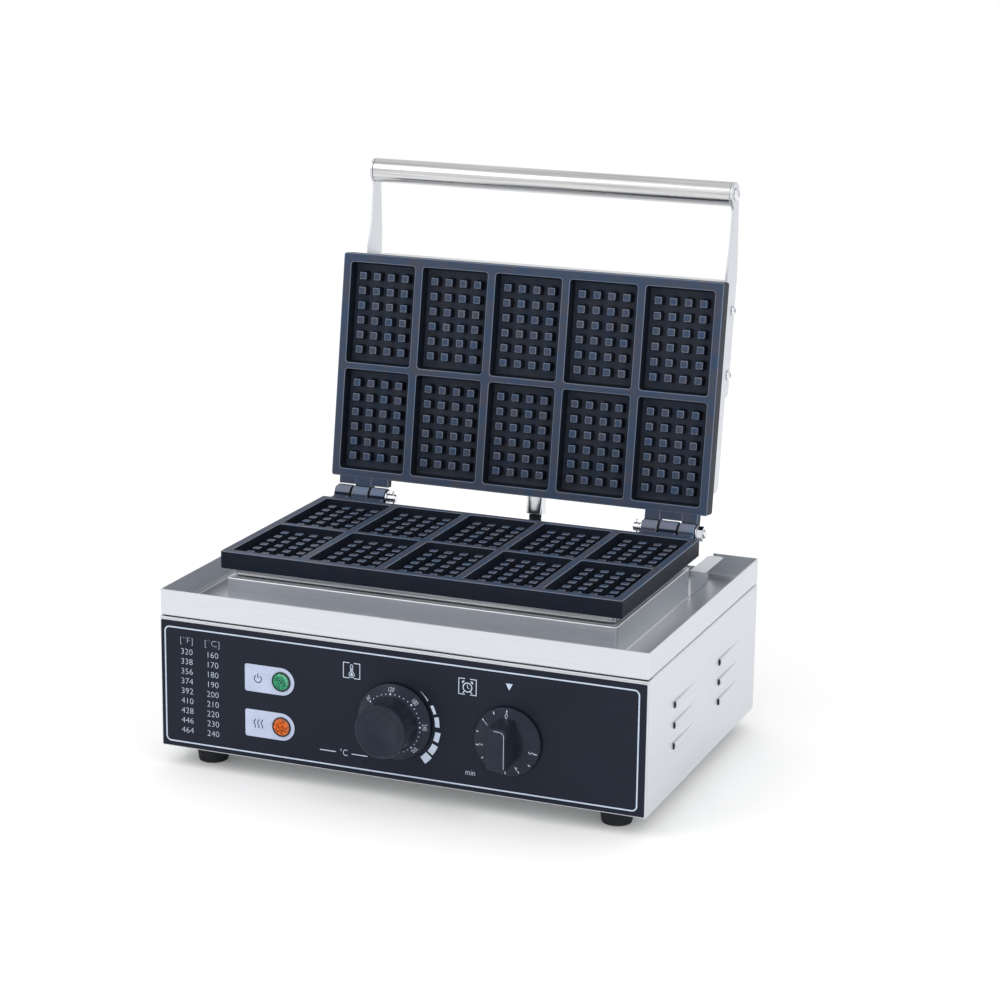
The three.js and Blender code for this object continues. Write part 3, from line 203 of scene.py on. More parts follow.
def levels(outline: Sequence[Point], radius: float, rows: Iterable[Point],
           steps: int = ARC) -> list[list[Vector]]:
    """Loops of a rounded outline, one for each row of how far it is drawn in and its height."""
    return [[Vector((u, v, z)) for u, v in rounded(outline, radius, drawn, steps)] for drawn, z in rows]


def ways(points: Iterable[Sequence[float]]) -> list[tuple[Vector, Vector]]:
    """Each point of an open line, with the direction of the line there."""
    line = [Vector(p) for p in points]
    ahead, behind = line[1:] + line[-1:], line[:1] + line[:-1]
    return [(here, (a - b).normalized()) for here, a, b in zip(line, ahead, behind)]


# Materials


def linear(code: str) -> tuple[float, float, float, float]:
    """Scene-linear colour of an sRGB hex code."""
    values = [int(code[i:i + 2], 16) / 255 for i in (1, 3, 5)]
    r, g, b = [v / 12.92 if v <= 0.04045 else ((v + 0.055) / 1.055) ** 2.4 for v in values]
    return r, g, b, 1.0


class Nodes:
    """A node tree that is filled by the script."""

    def __init__(self, tree: bpy.types.NodeTree, prefix: str = "ShaderNode") -> None:
        """Empties the tree; the prefix starts the name of each node type."""
        self.tree, self.prefix = tree, prefix
        tree.nodes.clear()

    def add(self, kind: str, settings: dict | None = None, **inputs: object) -> bpy.types.Node:
        """Adds a node.

        Args:
            kind: Node type without its prefix.
            settings: Properties of the node.
            inputs: Values or sockets by input name, with underscores for spaces, or _0, _1 by number.

        Returns:
            The new node.
        """
        node = self.tree.nodes.new(self.prefix + kind)
        for key, value in (settings or {}).items():
            setattr(node, key, value)
        for key, value in inputs.items():
            by_number = key[0] == "_" and key[1:].isdigit()
            socket = node.inputs[int(key[1:]) if by_number else key.replace("_", " ")]
            if isinstance(value, Socket):
                self.tree.links.new(value, socket)
            else:
                socket.default_value = value
        return node

    def sum(self, kind: str, a: object, b: object) -> Socket:
        """One step of arithmetic on two values."""
        return self.add("Math", {"operation": kind}, _0=a, _1=b).outputs[0]

    def span(self, value: Socket, low: float, high: float, start: float = 0.35, end: float = 0.65) -> Socket:
        """Maps a range, here the middle of a noise, on to another."""
        node = self.add("MapRange", Value=value, From_Min=start, From_Max=end, To_Min=low, To_Max=high)
        return node.outputs["Result"]


class Shader(Nodes):
    """Node tree of one procedural material."""

    def __init__(self, name: str) -> None:
        """Starts an empty material."""
        self.material = bpy.data.materials.new(name)
        self.material.use_nodes = True
        super().__init__(self.material.node_tree)

    def place(self, scale: Sequence[float]) -> Socket:
        """Object coordinates stretched along each axis."""
        where = self.add("TexCoord").outputs["Object"]
        return self.add("Mapping", Vector=where, Scale=tuple(scale)).outputs["Vector"]

    def noise(self, scale: Sequence[float], detail: float = 2, seed: float = 0) -> Socket:
        """Noise value with its own scale along each axis, in waves per metre."""
        four = {"noise_dimensions": "4D"}
        node = self.add("TexNoise", four, Vector=self.place(scale), Scale=1.0, Detail=detail, W=seed)
        return node.outputs["Fac"]

    def tint(self, value: Socket, low: str, high: str) -> Socket:
        """Colour between two hex codes as the value goes from 0 to 1."""
        return self.add("Mix", {"data_type": "RGBA"}, _0=value, _6=linear(low), _7=linear(high)).outputs[2]

    def close(self, surface: bpy.types.Node) -> bpy.types.Material:
        """Gives the material its surface and returns it."""
        self.add("OutputMaterial", Surface=surface.outputs[0])
        return self.material


@dataclass(frozen=True)
class Finish:
    """A real finish: colour between two shades in patches, and the skin's roughness."""

    name: str
    slot: str
    dark: str
    light: str
    rough: Point = (0.4, 0.5)
    metallic: float = 0.0
    patches: float = 40.0  # clouds per metre
    skin: float = 0.0  # grains of the surface per metre, 0 for smooth
    relief: float = 0.0  # height of the grains in mm
    level: float = 0.5  # strength of the sheen
    sheen: str = "#ffffff"  # tint of the sheen

    def colour(self, shader: Shader) -> Socket:
        """Colour of the surface."""
        return shader.tint(shader.span(shader.noise((self.patches,) * 3), 0, 1), self.dark, self.light)

    def grain(self, shader: Shader) -> Socket:
        """Height of the surface's skin, 0 to 1."""
        return shader.noise((self.skin or PLAIN_SKIN,) * 3, 3, 2)

    def build(self, shader: Shader, **more: object) -> bpy.types.Material:
        """Surface with its colour, roughness and relief."""
        grain = self.grain(shader)
        if self.relief:
            bump = shader.add("Bump", Strength=1.0, Distance=self.relief * MM, Height=grain)
            more["Normal"] = bump.outputs["Normal"]
        return shader.close(shader.add(
            "BsdfPrincipled", Base_Color=self.colour(shader), Metallic=self.metallic,
            Specular_IOR_Level=self.level, Specular_Tint=linear(self.sheen),
            Roughness=shader.span(grain, *self.rough), **more))

    @functools.cached_property
    def material(self) -> bpy.types.Material:
        """The finish's material, built when it is first needed."""
        return self.build(Shader(self.name))


@dataclass(frozen=True)
class Satin(Finish):
    """Ground stainless sheet: grain along X, and along Y on the faces that look sideways."""

    def colour(self, shader: Shader) -> Socket:
        """The grain tints the metal a little."""
        return shader.tint(shader.span(self.grain(shader), 0, 1), self.dark, self.light)

    def grain(self, shader: Shader) -> Socket:
        """Long fine lines; real ones are 0.05 mm apart, these 0.8 mm, since a pixel is 0.5 mm."""
        axes = shader.add("SeparateXYZ", Vector=shader.add("NewGeometry").outputs["True Normal"]).outputs
        sideways = shader.sum("GREATER_THAN", shader.sum("ABSOLUTE", axes[0], 0.0), 0.7)
        fine = self.skin
        lines, across = (shader.noise(scale) for scale in ((9, fine, fine), (fine, 9, fine)))
        return shader.add("Mix", _0=sideways, _2=lines, _3=across).outputs[0]


@dataclass(frozen=True)
class Coated(Finish):
    """Non-stick coat on a casting whose faces carry a tier of painted light: wall, floor, level top, edge."""

    # painted shade on walls, cell floors a little lighter, painted highlight on level tops, paler painted
    # highlight on their edges
    shades: tuple[str, ...] = ("#1c212b", "#383e4a", "#444e61", "#757f92")

    def colour(self, shader: Shader) -> Socket:
        """Painted shade on walls and in the cells, slate painted highlight on level top faces, paler painted
        highlight on their edges, in patches.
        """
        ramp = shader.add("ValToRGB", Fac=shader.add("Attribute", {"attribute_name": "wear"}).outputs["Fac"])
        stops = ramp.color_ramp.elements
        for k in range(1, len(self.shades) - 1):
            stops.new(k / (len(self.shades) - 1))
        for stop, code in zip(stops, self.shades):
            stop.color = linear(code)
        return shader.add(
            "Mix", {"data_type": "RGBA", "blend_type": "MULTIPLY"}, _0=1.0,
            _6=ramp.outputs["Color"], _7=super().colour(shader)).outputs[2]


@dataclass(frozen=True)
class Spangled(Finish):
    """Cells of slightly different shade: real spangle on zinc, and on a lens painted glints and painted shade
    of its facets.
    """

    glow: float = 0.0

    def colour(self, shader: Shader) -> Socket:
        """One shade per cell: real spangle on zinc, painted glints and painted shade on a lens."""
        cells = shader.add("TexVoronoi", Vector=shader.place((self.patches,) * 3), Scale=1.0)
        share = shader.add("SeparateXYZ", Vector=cells.outputs["Color"]).outputs[0]
        return shader.tint(share, self.dark, self.light)

    def build(self, shader: Shader, **more: object) -> bpy.types.Material:
        """Adds a clear coat and a little light of its own to a lens."""
        if self.glow:
            more = {"Coat_Weight": 0.3, "Coat_Roughness": 0.06,
                    "Emission_Color": linear(self.light), "Emission_Strength": self.glow}
        return super().build(shader, **more)


class Finishes(Enum):
    """Every finish on the machine, by its real material."""

    # 1.2 mm stainless sheet, satin ground: stretches reflections and stays very pale
    SATIN = Satin("satin_steel", "steel", "#d2d5da", "#d9dce1", (0.36, 0.42), 1.0, skin=1200)
    # Polished stainless tube and pan: soft mirror with faint lengthwise streaks in its colour
    POLISHED = Satin("polished_steel", "bright_steel", "#bdbebf", "#d9d8d8", (0.18, 0.3), 1.0, skin=500)
    # Bright chrome on screws, pins and the sleeve: small hard glints
    CHROME = Finish("chrome", "chrome", "#dcdee2", "#e4e6ea", (0.06, 0.14), 1.0, 60)
    # Blasted cast aluminium under a sprayed coat: fine pebble, 0.7 mm coarse, dark blue slate
    NON_STICK = Coated(
        "non_stick", "non_stick", "#d8ebf8", "#ffeee2", (0.4, 0.55), 0.0, 75, 1400, 0.02, 0.13, "#c2d0f0")
    # Polyester film printed dark on its back: even, with a faint sheen
    FILM = Finish(
        "printed_film", "fascia", "#161b26", "#191e2a", (0.40, 0.44), 0.0, 14, 1800, 0.002, 0.22, "#d4def4")
    # Screen-printed ink: flat, a little uneven in strength
    PALE_INK = Finish("pale_ink", "fascia", "#b9c8dd", "#c8d4e6", (0.5, 0.55), 0.0, 220, level=0.2)
    # The broad pale areas round the lamps: flat lilac grey
    LABEL_INK = Finish("label_ink", "fascia", "#b3bcd6", "#bdc6de", (0.45, 0.5), 0.0, 60, level=0.2)
    # Dark ink of the symbols on the pale areas: flat
    DARK_INK = Finish("dark_ink", "fascia", "#262c3e", "#2b3144", (0.5, 0.55), 0.0, 60, level=0.2)
    # Glass-filled plastic, spark textured by its mould: soft grey sheen
    DIAL = Finish(
        "moulded_plastic", "dial", "#1e232c", "#242933", (0.22, 0.34), 0.0, 60, 1500, 0.006, 0.3, "#c2d0f0")
    # Plain black plastic of bezels and inner bodies: darker than the dials, same spark texture
    BLACK = Finish("black_plastic", "black_plastic", "#121316", "#17181b", (0.36, 0.48), 0.0, 60, 1500, 0.008)
    # Moulded rubber: nearly black, dusty and matt
    RUBBER = Finish("rubber", "rubber", "#17191e", "#20232a", (0.68, 0.76), 0.0, 80, level=0.3)
    # Clear coloured acrylic moulded in facets: its chips of light and dark are painted glints and painted
    # shade
    GREEN = Spangled("green_lens", "green_lens", "#024430", "#18b07c", (0.07, 0.1), 0.0, 800, glow=0.05)
    ORANGE = Spangled("orange_lens", "orange_lens", "#7c2e08", "#f07c2c", (0.07, 0.1), 0.0, 800, glow=0.06)
    # Zinc-coated sheet: spangle 8 mm across
    ZINC = Spangled("galvanised", "galvanised", "#a9adaf", "#bdc0c2", (0.38, 0.5), 1.0, 125)
    # Steel heater tube that has run hot: straw and blue tints
    HEATER = Finish("heater_tube", "heater", "#7a6a52", "#50505c", (0.45, 0.55), 0.9, 25)
    # Glazed steatite: warm white and glossy
    CERAMIC = Finish("ceramic", "ceramic", "#e0dccf", "#eae6da", (0.22, 0.3), 0.0, 90)
    # Drawn copper, tarnished in patches
    COPPER = Finish("copper", "copper", "#9a5a38", "#c07c50", (0.28, 0.36), 1.0, 70)


# Building pieces


def linked(name: str, data: object) -> Object:
    """New object in the scene with its data."""
    piece = bpy.data.objects.new(name, data)
    bpy.context.scene.collection.objects.link(piece)
    return piece


def baked(piece: Object) -> None:
    """Puts the evaluated mesh of a piece in the place of its own and drops its modifiers."""
    bpy.context.view_layer.update()
    graph = bpy.context.evaluated_depsgraph_get()
    old, mesh = piece.data, bpy.data.meshes.new_from_object(
        piece.evaluated_get(graph), preserve_all_data_layers=True, depsgraph=graph)
    piece.modifiers.clear()
    piece.data, mesh.name = mesh, piece.name
    bpy.data.meshes.remove(old)


def discard(piece: Object) -> None:
    """Removes an object that only served to make another, with its mesh."""
    mesh = piece.data
    bpy.data.objects.remove(piece)
    bpy.data.meshes.remove(mesh)


def smooth(mesh: bpy.types.Mesh, sharp: float) -> None:
    """Shades a mesh smooth between its sharp edges."""
    mesh.shade_smooth()
    mesh.set_sharp_from_angle(angle=math.radians(sharp))


class Maker:
    """Collects closed surfaces in millimetres and finishes them as one piece."""

    def __init__(self, name: str) -> None:
        """Starts an empty mesh; once a height is set, each face gets a tier of painted light: shade on walls,
        floors below the height, highlight on faces above it.
        """
        self.name = name
        self.bm = bmesh.new()
        self.ground: float | None = None

    def ring(self, points: Iterable[Sequence[float]]) -> Ring:
        """Adds the corners of one loop."""
        return [self.bm.verts.new(p) for p in points]

    def skin(self, rings: Sequence[Ring], closed: bool = True) -> None:
        """Bridges neighbouring rings of equal length with quads."""
        for a, b in zip(rings, rings[1:]):
            for i in range(len(a) if closed else len(a) - 1):
                j = (i + 1) % len(a)
                self.bm.faces.new((a[i], a[j], b[j], b[i]))

    def loft(self, loops: Iterable[Iterable[Sequence[float]]], first: bool = True,
             last: bool = True) -> list[Ring]:
        """Skins a row of loops and returns their rings.

        Args:
            loops: Points of each loop, equal in number.
            first: Close the first loop with a face.
            last: Close the last loop with a face.

        Returns:
            The rings of vertices.
        """
        rings = [self.ring(loop) for loop in loops]
        self.skin(rings)
        for wanted, ring in ((first, rings[0]), (last, rings[-1])):
            if wanted:
                self.bm.faces.new(ring)
        return rings

    def pierced(self, outer: Ring, holes: Sequence[Ring]) -> None:
        """Flat face inside one ring with other rings left open."""
        edges = []
        for ring in [outer, *holes]:
            for pair in zip(ring, ring[1:] + ring[:1]):
                edges.append(self.bm.edges.get(pair) or self.bm.edges.new(pair))
        bmesh.ops.triangle_fill(self.bm, use_beauty=True, use_dissolve=False, edges=edges)

    def turn(self, profile: Sequence[Point], place: Placer, steps: int = TURN, around: bool = False) -> None:
        """Turned piece.

        Args:
            profile: Radius and height of each point; a radius of 0 is a pole.
            place: Takes two coordinates across the axis and the height along it.
            steps: Segments round the axis.
            around: The profile closes on itself.
        """
        rings = [
            self.ring(place(u, v, height) for u, v in (circle(radius, steps) if radius > 0 else [(0, 0)]))
            for radius, height in profile]
        for a, b in zip(rings, rings[1:] + (rings[:1] if around else [])):
            if len(a) > 1 and len(b) > 1:
                self.skin([a, b])
            elif len(a) > 1 or len(b) > 1:
                pole, rim = (a[0], b) if len(a) == 1 else (b[0], a)
                for one, two in zip(rim, rim[1:] + rim[:1]):
                    self.bm.faces.new((one, two, pole))

    def block(self, low: Sequence[float], high: Sequence[float], radius: float = 0) -> None:
        """Block between two corners with its edges rounded."""
        made = bmesh.ops.create_cube(self.bm, size=1)["verts"]
        for vert in made:
            vert.co = Vector(a + (b - a) * (c + 0.5) for a, b, c in zip(low, high, vert.co))
        if radius:
            edges = {edge for vert in made for edge in vert.link_edges}
            bmesh.ops.bevel(
                self.bm, geom=list(edges), offset=radius, segments=2, profile=0.5,
                affect="EDGES", clamp_overlap=True)

    def prism(self, outline: Sequence[Point], span: Point, place: Placer, edge: float = 0.4,
              steps: int = 2) -> None:
        """Flat plate of an outline, both its rims rounded over.

        Args:
            outline: Counter-clockwise points.
            span: Heights of its two faces.
            place: Takes outline coordinates and the height.
            edge: Radius of the rims.
            steps: Segments of each rim.
        """
        low, high = span
        rows = [(edge * s, low + edge * c) for s, c in quarter(steps)]
        rows += [(drawn, high - (height - low)) for drawn, height in reversed(rows)]
        self.loft([[place(u, v, height) for u, v in inset(outline, drawn)] for drawn, height in rows])

    def tube(self, route: Sequence[Sequence[float]], radius: float, steps: int) -> None:
        """Round bar along a route."""
        loops, across = [], Vector((0, 0, 1))
        for here, way in ways(route):
            if not loops and abs(way.dot(across)) > 0.8:
                across = Vector((1, 0, 0))
            across = (across - way * across.dot(way)).normalized()
            third = way.cross(across)
            loops.append([here + across * u + third * v for u, v in circle(radius, steps)])
        self.loft(loops)

    def flat(self, outline: Sequence[Point], place: Placer) -> None:
        """One flat printed area."""
        self.bm.faces.new(self.ring(place(u, v, 0) for u, v in outline))

    def band(self, outer: Sequence[Point], inner: Sequence[Point], place: Placer,
             closed: bool = True) -> None:
        """Flat printed line between two outlines of equal length."""
        self.skin([self.ring(place(u, v, 0) for u, v in line) for line in (outer, inner)], closed)

    def line(self, points: Sequence[Point], width: float, place: Placer) -> None:
        """Printed line of even width along open points."""
        sides = [(here, Vector((-way.y, way.x)) * width / 2) for here, way in ways(points)]
        left, right = ([here + side * way for here, side in sides] for way in (1, -1))
        self.band(left, right, place, closed=False)

    def lettering(self, words: str, size: float, at: Point, place: Placer, stretch: float = 0.85,
                  weight: float = -0.012) -> None:
        """Printed characters, centred on a point.

        Args:
            words: Characters to print.
            size: Height of a capital.
            at: Middle of the words in the placer's coordinates.
            place: Takes flat coordinates.
            stretch: Width of the characters as a share of the font's.
            weight: Change of the strokes' weight as a share of the font size.
        """
        curve = bpy.data.curves.new("lettering", "FONT")
        curve.body, curve.align_x, curve.align_y = words, "CENTER", "CENTER"
        curve.size = size / CAPITAL
        curve.offset = weight * curve.size
        curve.resolution_u = 3
        holder = linked("lettering", curve)
        bpy.context.view_layer.update()
        mesh = bpy.data.meshes.new_from_object(holder.evaluated_get(bpy.context.evaluated_depsgraph_get()))
        start = len(self.bm.verts)
        self.bm.from_mesh(mesh)
        self.bm.verts.ensure_lookup_table()
        for vert in self.bm.verts[start:]:
            vert.co = place(at[0] + vert.co.x * stretch, at[1] + vert.co.y, 0)
        bpy.data.objects.remove(holder)
        bpy.data.curves.remove(curve)
        bpy.data.meshes.remove(mesh)

    def mesh(self, matrix: Matrix = Matrix.Identity(4)) -> bpy.types.Mesh:
        """Turns what was collected into a mesh in metres."""
        self.bm.transform(Matrix.Scale(MM, 4) @ matrix)
        mesh = bpy.data.meshes.new(self.name)
        self.bm.to_mesh(mesh)
        self.bm.free()
        return mesh

    def solid(self, matrix: Matrix = Matrix.Identity(4), sharp: float = SHARP) -> Object:
        """Closes the surfaces and makes an object of them, without a finish yet."""
        bmesh.ops.remove_doubles(self.bm, verts=self.bm.verts, dist=WELD)
        bmesh.ops.recalc_face_normals(self.bm, faces=self.bm.faces)
        # tier of painted light per face: painted shade on walls and floors, painted highlight on faces that
        # look up above the height, paler on their edges
        if self.ground is not None:
            self.bm.normal_update()
            layer = self.bm.faces.layers.float.new("wear")
            for face in self.bm.faces:
                if face.normal.z > UPWARD:
                    high = face.calc_center_median().z > self.ground
                    face[layer] = (1 if not high else 2 if face.normal.z > LEVEL_FACE else 3) / 3
        mesh = self.mesh(matrix)
        smooth(mesh, sharp)
        return linked(self.name, mesh)

    def finish(self, finish: Finishes, body: str, nodes: Sequence[str] = (),
               matrix: Matrix = Matrix.Identity(4), sharp: float = SHARP) -> None:
        """Makes the piece, dresses it and hands it to its body.

        Args:
            finish: Its finish.
            body: The CAD body that it rides on.
            nodes: CAD nodes that it stands for.
            matrix: Frame that its points were written in.
            sharp: Angle in degrees past which an edge stays sharp.
        """
        dressed(self.solid(matrix, sharp), finish, body, nodes)

    def ink(self, finish: Finishes, body: str) -> None:
        """Makes a print whose faces all look to the front."""
        self.bm.normal_update()
        bmesh.ops.reverse_faces(self.bm, faces=[face for face in self.bm.faces if face.normal.y > 0])
        dressed(linked(self.name, self.mesh()), finish, body, weighted=False)


def dressed(piece: Object, finish: Finishes, body: str, nodes: Sequence[str] = (),
            weighted: bool = True) -> None:
    """Gives a piece its finish and its body, and hides the nodes that it stands for."""
    if weighted:
        piece.modifiers.new("weighted", "WEIGHTED_NORMAL").keep_sharp = True
        baked(piece)
    painted(piece, finish)
    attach(piece, body)
    if nodes:
        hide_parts(*nodes)
    log.info("%s: %d faces on %s", piece.name, len(piece.data.polygons), body)


def painted(piece: Object, finish: Finishes) -> None:
    """Gives an object its material."""
    piece.data.materials.clear()
    piece.data.materials.append(finish.value.material)


class Repeat:
    """Geometry nodes that set copies of a form on points, with a little variation in size."""

    inputs = {"Points": "Geometry", "Form": "Object", "Spread": "Float", "Seed": "Int", "Finish": "Material"}

    def __init__(self, form: Object, spread: float = 0.0, seed: int = 1) -> None:
        """Takes the form, its spread in scale and the seed, and lays the nodes out."""
        self.form, self.spread, self.seed = form, spread, seed
        self.tree = bpy.data.node_groups.new("Repeat", "GeometryNodeTree")
        for label, kind in self.inputs.items():
            self.tree.interface.new_socket(label, in_out="INPUT", socket_type="NodeSocket" + kind)
        self.tree.interface.new_socket("Copies", in_out="OUTPUT", socket_type="NodeSocketGeometry")
        nodes = Nodes(self.tree, "")
        given = nodes.add("NodeGroupInput").outputs
        source = nodes.add("GeometryNodeObjectInfo", Object=given["Form"])
        turn = nodes.add("GeometryNodeInputNamedAttribute", {"data_type": "FLOAT_VECTOR"}, Name="turn")
        low, high = (
            nodes.add("ShaderNodeMath", {"operation": kind}, _0=1.0, _1=given["Spread"]).outputs[0]
            for kind in ("SUBTRACT", "ADD"))
        size = nodes.add("FunctionNodeRandomValue", _2=low, _3=high, Seed=given["Seed"])
        copies = nodes.add(
            "GeometryNodeInstanceOnPoints", Points=given["Points"], Instance=source.outputs["Geometry"],
            Rotation=turn.outputs["Attribute"], Scale=size.outputs[1])
        real = nodes.add("GeometryNodeRealizeInstances", Geometry=copies.outputs["Instances"])
        paint = nodes.add(
            "GeometryNodeSetMaterial", Geometry=real.outputs["Geometry"], Material=given["Finish"])
        nodes.add("NodeGroupOutput", Copies=paint.outputs["Geometry"])

    def on(self, name: str, points: Sequence[Sequence[float]], finish: Finishes,
           turns: Sequence[Sequence[float]] | None = None) -> Object:
        """Copies of the form on points in millimetres, as one piece without a body yet; the form goes."""
        mesh = bpy.data.meshes.new(name)
        mesh.from_pydata([tuple(Vector(p) * MM) for p in points], [], [])
        turn = mesh.attributes.new("turn", "FLOAT_VECTOR", "POINT")
        for i, value in enumerate(turns or [(0, 0, 0)] * len(points)):
            turn.data[i].vector = value
        piece = linked(name, mesh)
        modifier = piece.modifiers.new("repeat", "NODES")
        modifier.node_group = self.tree
        given = {"Form": self.form, "Spread": self.spread, "Seed": self.seed,
                 "Finish": finish.value.material}
        for item in self.tree.interface.items_tree:
            if item.in_out == "INPUT" and item.name in given:
                modifier[item.identifier] = given[item.name]
        baked(piece)
        discard(self.form)
        return piece


def cut(piece: Object, tool: Maker, sharp: float) -> None:
    """Cuts a closed tool out of a closed piece, removes the tool and shades the piece again."""
    cutter = tool.solid()
    modifier = piece.modifiers.new("cut", "BOOLEAN")
    modifier.operation, modifier.solver, modifier.object = "DIFFERENCE", "EXACT", cutter
    baked(piece)
    discard(cutter)
    smooth(piece.data, sharp)


# The two cooking plates


@dataclass
class Casting:
    """One ribbed cooking plate; its face is up, the hinge axis along X through the origin."""

    columns: int = 5
    cell: Point = (65.0, 94.3)
    pitch: float = 73.0
    rows: Point = (70.75, 171.35)
    depth: float = 12.5
    draft: float = 1.5
    face: float = 0.3
    thickness: float = 15.6
    half_width: float = 186.5
    near: float = 16.2
    far: float = 226.8
    corner: float = 2.4
    edge: float = 0.9
    rim_angles: tuple[float, ...] = (0, 0.52, 1.05, 1.571)
    mouth: float = 0.8
    fillet: float = 1.8
    cell_corner: float = 3.6
    pegs: tuple[int, int] = (4, 6)
    peg_pitch: Point = (14.317, 13.853)
    peg_half: float = 3.25
    peg_corner: float = 0.9
    peg_height: float = 9.0
    peg_sides: tuple[Point, ...] = (  # past the half width, and height
        (1.3, 0.0), (0.7, 0.9), (0.1375, 8.45), (-0.165, 8.835), (-0.55, 9.0))
    knuckle: float = 8.5
    web: float = 1.5  # how far a web reaches past the plate's edge
    barrels: tuple[Point, ...] = ((-178, -163), (-142.5, -127.5), (144.5, 161))
    roots: tuple[Point, ...] = ((-178.2, -127.3), (127.5, 178))

    def _cells(self) -> list[Point]:
        """Middle of each cell."""
        xs = [(i - (self.columns - 1) / 2) * self.pitch for i in range(self.columns)]
        return [(x, -s) for x in xs for s in self.rows]

    def _cell_loops(self, x: float, y: float) -> list[list[Vector]]:
        """Loops of one cell from its rounded mouth to the edge of its floor."""
        w, h = self.cell[0] / 2 + self.mouth, self.cell[1] / 2 + self.mouth
        wall = self.depth - self.fillet
        rows = [(self.mouth * (1 - s), self.mouth * c) for s, c in quarter(3)]
        rows.append((self.mouth + self.draft * wall / self.depth, wall))
        rows += [
            (self.mouth + self.draft + self.fillet * c, wall + self.fillet * (1 - s))
            for s, c in quarter(3)[1:]]
        outline = rectangle(x - w, x + w, y - h, y + h)
        return levels(outline, self.cell_corner, [(drawn, -self.face - drop) for drawn, drop in rows], 6)

    def _plate(self, maker: Maker) -> None:
        """Plate with its cells, rounded along every edge."""
        outline = rectangle(-self.half_width, self.half_width, -self.far, -self.near)
        rows = [(self.edge * (1 - math.sin(t)), self.edge * (1 - math.cos(t))) for t in self.rim_angles]
        side = [(drawn, -self.face - drop) for drawn, drop in rows]
        side += [(drawn, drop - self.face - self.thickness) for drawn, drop in reversed(rows)]
        rings = maker.loft(levels(outline, self.corner, side), first=False)
        mouths = [maker.loft(self._cell_loops(*at), first=False)[0] for at in self._cells()]
        maker.pierced(rings[0], mouths)

    def _barrel(self, maker: Maker, span: Point) -> None:
        """Hinge knuckle with the web that carries it."""
        r, drop, end = self.knuckle, self.face, -self.near - self.web
        start = math.degrees(math.pi - math.asin(drop / r))
        outline = [(end, -drop - 0.1), (end, -drop - r), (-2.0, -drop - r), *arc((0, 0), r, -88, start)]
        maker.prism(outline, span, along_x(0, 0), 0.8, 3)

    def _pegs(self, name: str) -> Object:
        """All pegs of the plate."""
        peg = Maker("peg")
        # peg tops above this height get the painted highlight
        peg.ground = self.peg_height - 0.6
        loops = []
        for out, height in self.peg_sides:
            half = self.peg_half + out
            loops += levels(rectangle(-half, half, -half, half), self.peg_corner, [(0, height)], 2)
        peg.loft(loops, first=False)
        across, along = self.pegs
        points = [
            (x + (u - (across - 1) / 2) * self.peg_pitch[0], y + (v - (along - 1) / 2) * self.peg_pitch[1],
             -self.face - self.depth)
            for x, y in self._cells() for v in range(along) for u in range(across)]
        return Repeat(peg.solid()).on(name, points, Finishes.NON_STICK)

    def build(self, name: str, body: str, matrix: Matrix) -> None:
        """Casts the plate called name and hangs it on its body at a frame."""
        maker = Maker(name)
        # faces of the plate above this height get the painted highlight, the rest painted shade
        maker.ground = -1.0
        self._plate(maker)
        for span in self.barrels:
            self._barrel(maker, span)
        for x0, x1 in self.roots:
            maker.block(
                (x0, -self.near - self.web, -self.face - self.knuckle),
                (x1, -self.near + 7.0, -self.face - 0.05), 0.8)
        maker.finish(Finishes.NON_STICK, body, [name], matrix, sharp=30)
        pegs = self._pegs(name + "_pegs")
        metres = matrix.copy()
        metres.translation *= MM
        pegs.data.transform(metres)
        dressed(pegs, Finishes.NON_STICK, body)


# Base


@dataclass
class DripTray:
    """Pressed tray: outer rim, moat, raised pedestal and a back wall that is low in between."""

    corner: float = 2.6
    moat_corner: float = 3.2
    wall: float = 1.5
    rim: float = 0.75
    fillet: float = 4.0
    foot: float = 2.0  # fillet at the foot of the pedestal
    pedestal_corner: float = 3.5
    pedestal_edge: float = 1.4
    pan_insets: tuple[float, float, float] = (3.5, 7.0, 6.0)  # pan to pedestal: side, front, back
    flange: float = 16.0
    notch_gap: float = 0.5
    lip: float = 8.0

    def build(self) -> None:
        """Presses the tray and cuts its low back wall."""
        low, high = box_mm("drip_tray")
        floor_z, top, w = low.z + SHEET, high.z, self.wall
        pan_low, pan_high = box_mm("lower_heater_pan")
        side, front, back = self.pan_insets
        px = pan_high.x + side
        maker = Maker("drip_tray")
        rows = [(1.9, low.z), (0.9, low.z + 0.25), (0.25, low.z + 0.9), (0, low.z + 1.9)]
        rows += [(0, RIM_Z - self.rim), (0.22, RIM_Z - 0.22), (self.rim, RIM_Z)]
        outer = rectangle(low.x, high.x, low.y, high.y)
        rings = maker.loft(levels(outer, self.corner, rows), False, False)
        moat = rectangle(low.x + w, high.x - w, low.y + w, high.y - w)
        rows = [(-0.65, RIM_Z), (-0.2, RIM_Z - 0.2), (0, RIM_Z - 0.75)]
        rows += [(self.fillet * c, floor_z + self.fillet * s) for s, c in quarter(4)]
        walls = maker.loft(levels(moat, self.moat_corner, rows), False, False)
        maker.pierced(rings[-1], [walls[0]])
        rows = [(-self.foot * s, floor_z + self.foot * c) for s, c in quarter(3)]
        rows += [(self.pedestal_edge * c, top - self.pedestal_edge * s) for s, c in quarter(3)]
        rows += [(self.flange, top), (self.flange, top - SHEET), (SHEET + 1, top - SHEET)]
        rows += [(SHEET, top - 3), (SHEET, low.z)]
        pedestal = rectangle(-px, px, pan_low.y - front, pan_high.y + back)
        steps = maker.loft(levels(pedestal, self.pedestal_corner, rows), False, False)
        maker.pierced(walls[-1], [steps[0]])
        maker.pierced(rings[0], [steps[-1]])
        tray = maker.solid()
        tool, notch = Maker("notch"), px + self.notch_gap
        tool.block((-notch, high.y - w - 1, floor_z + self.lip), (notch, high.y + 3, RIM_Z + 3))
        cut(tray, tool, 40)
        dressed(tray, Finishes.SATIN, "base", ["drip_tray"])


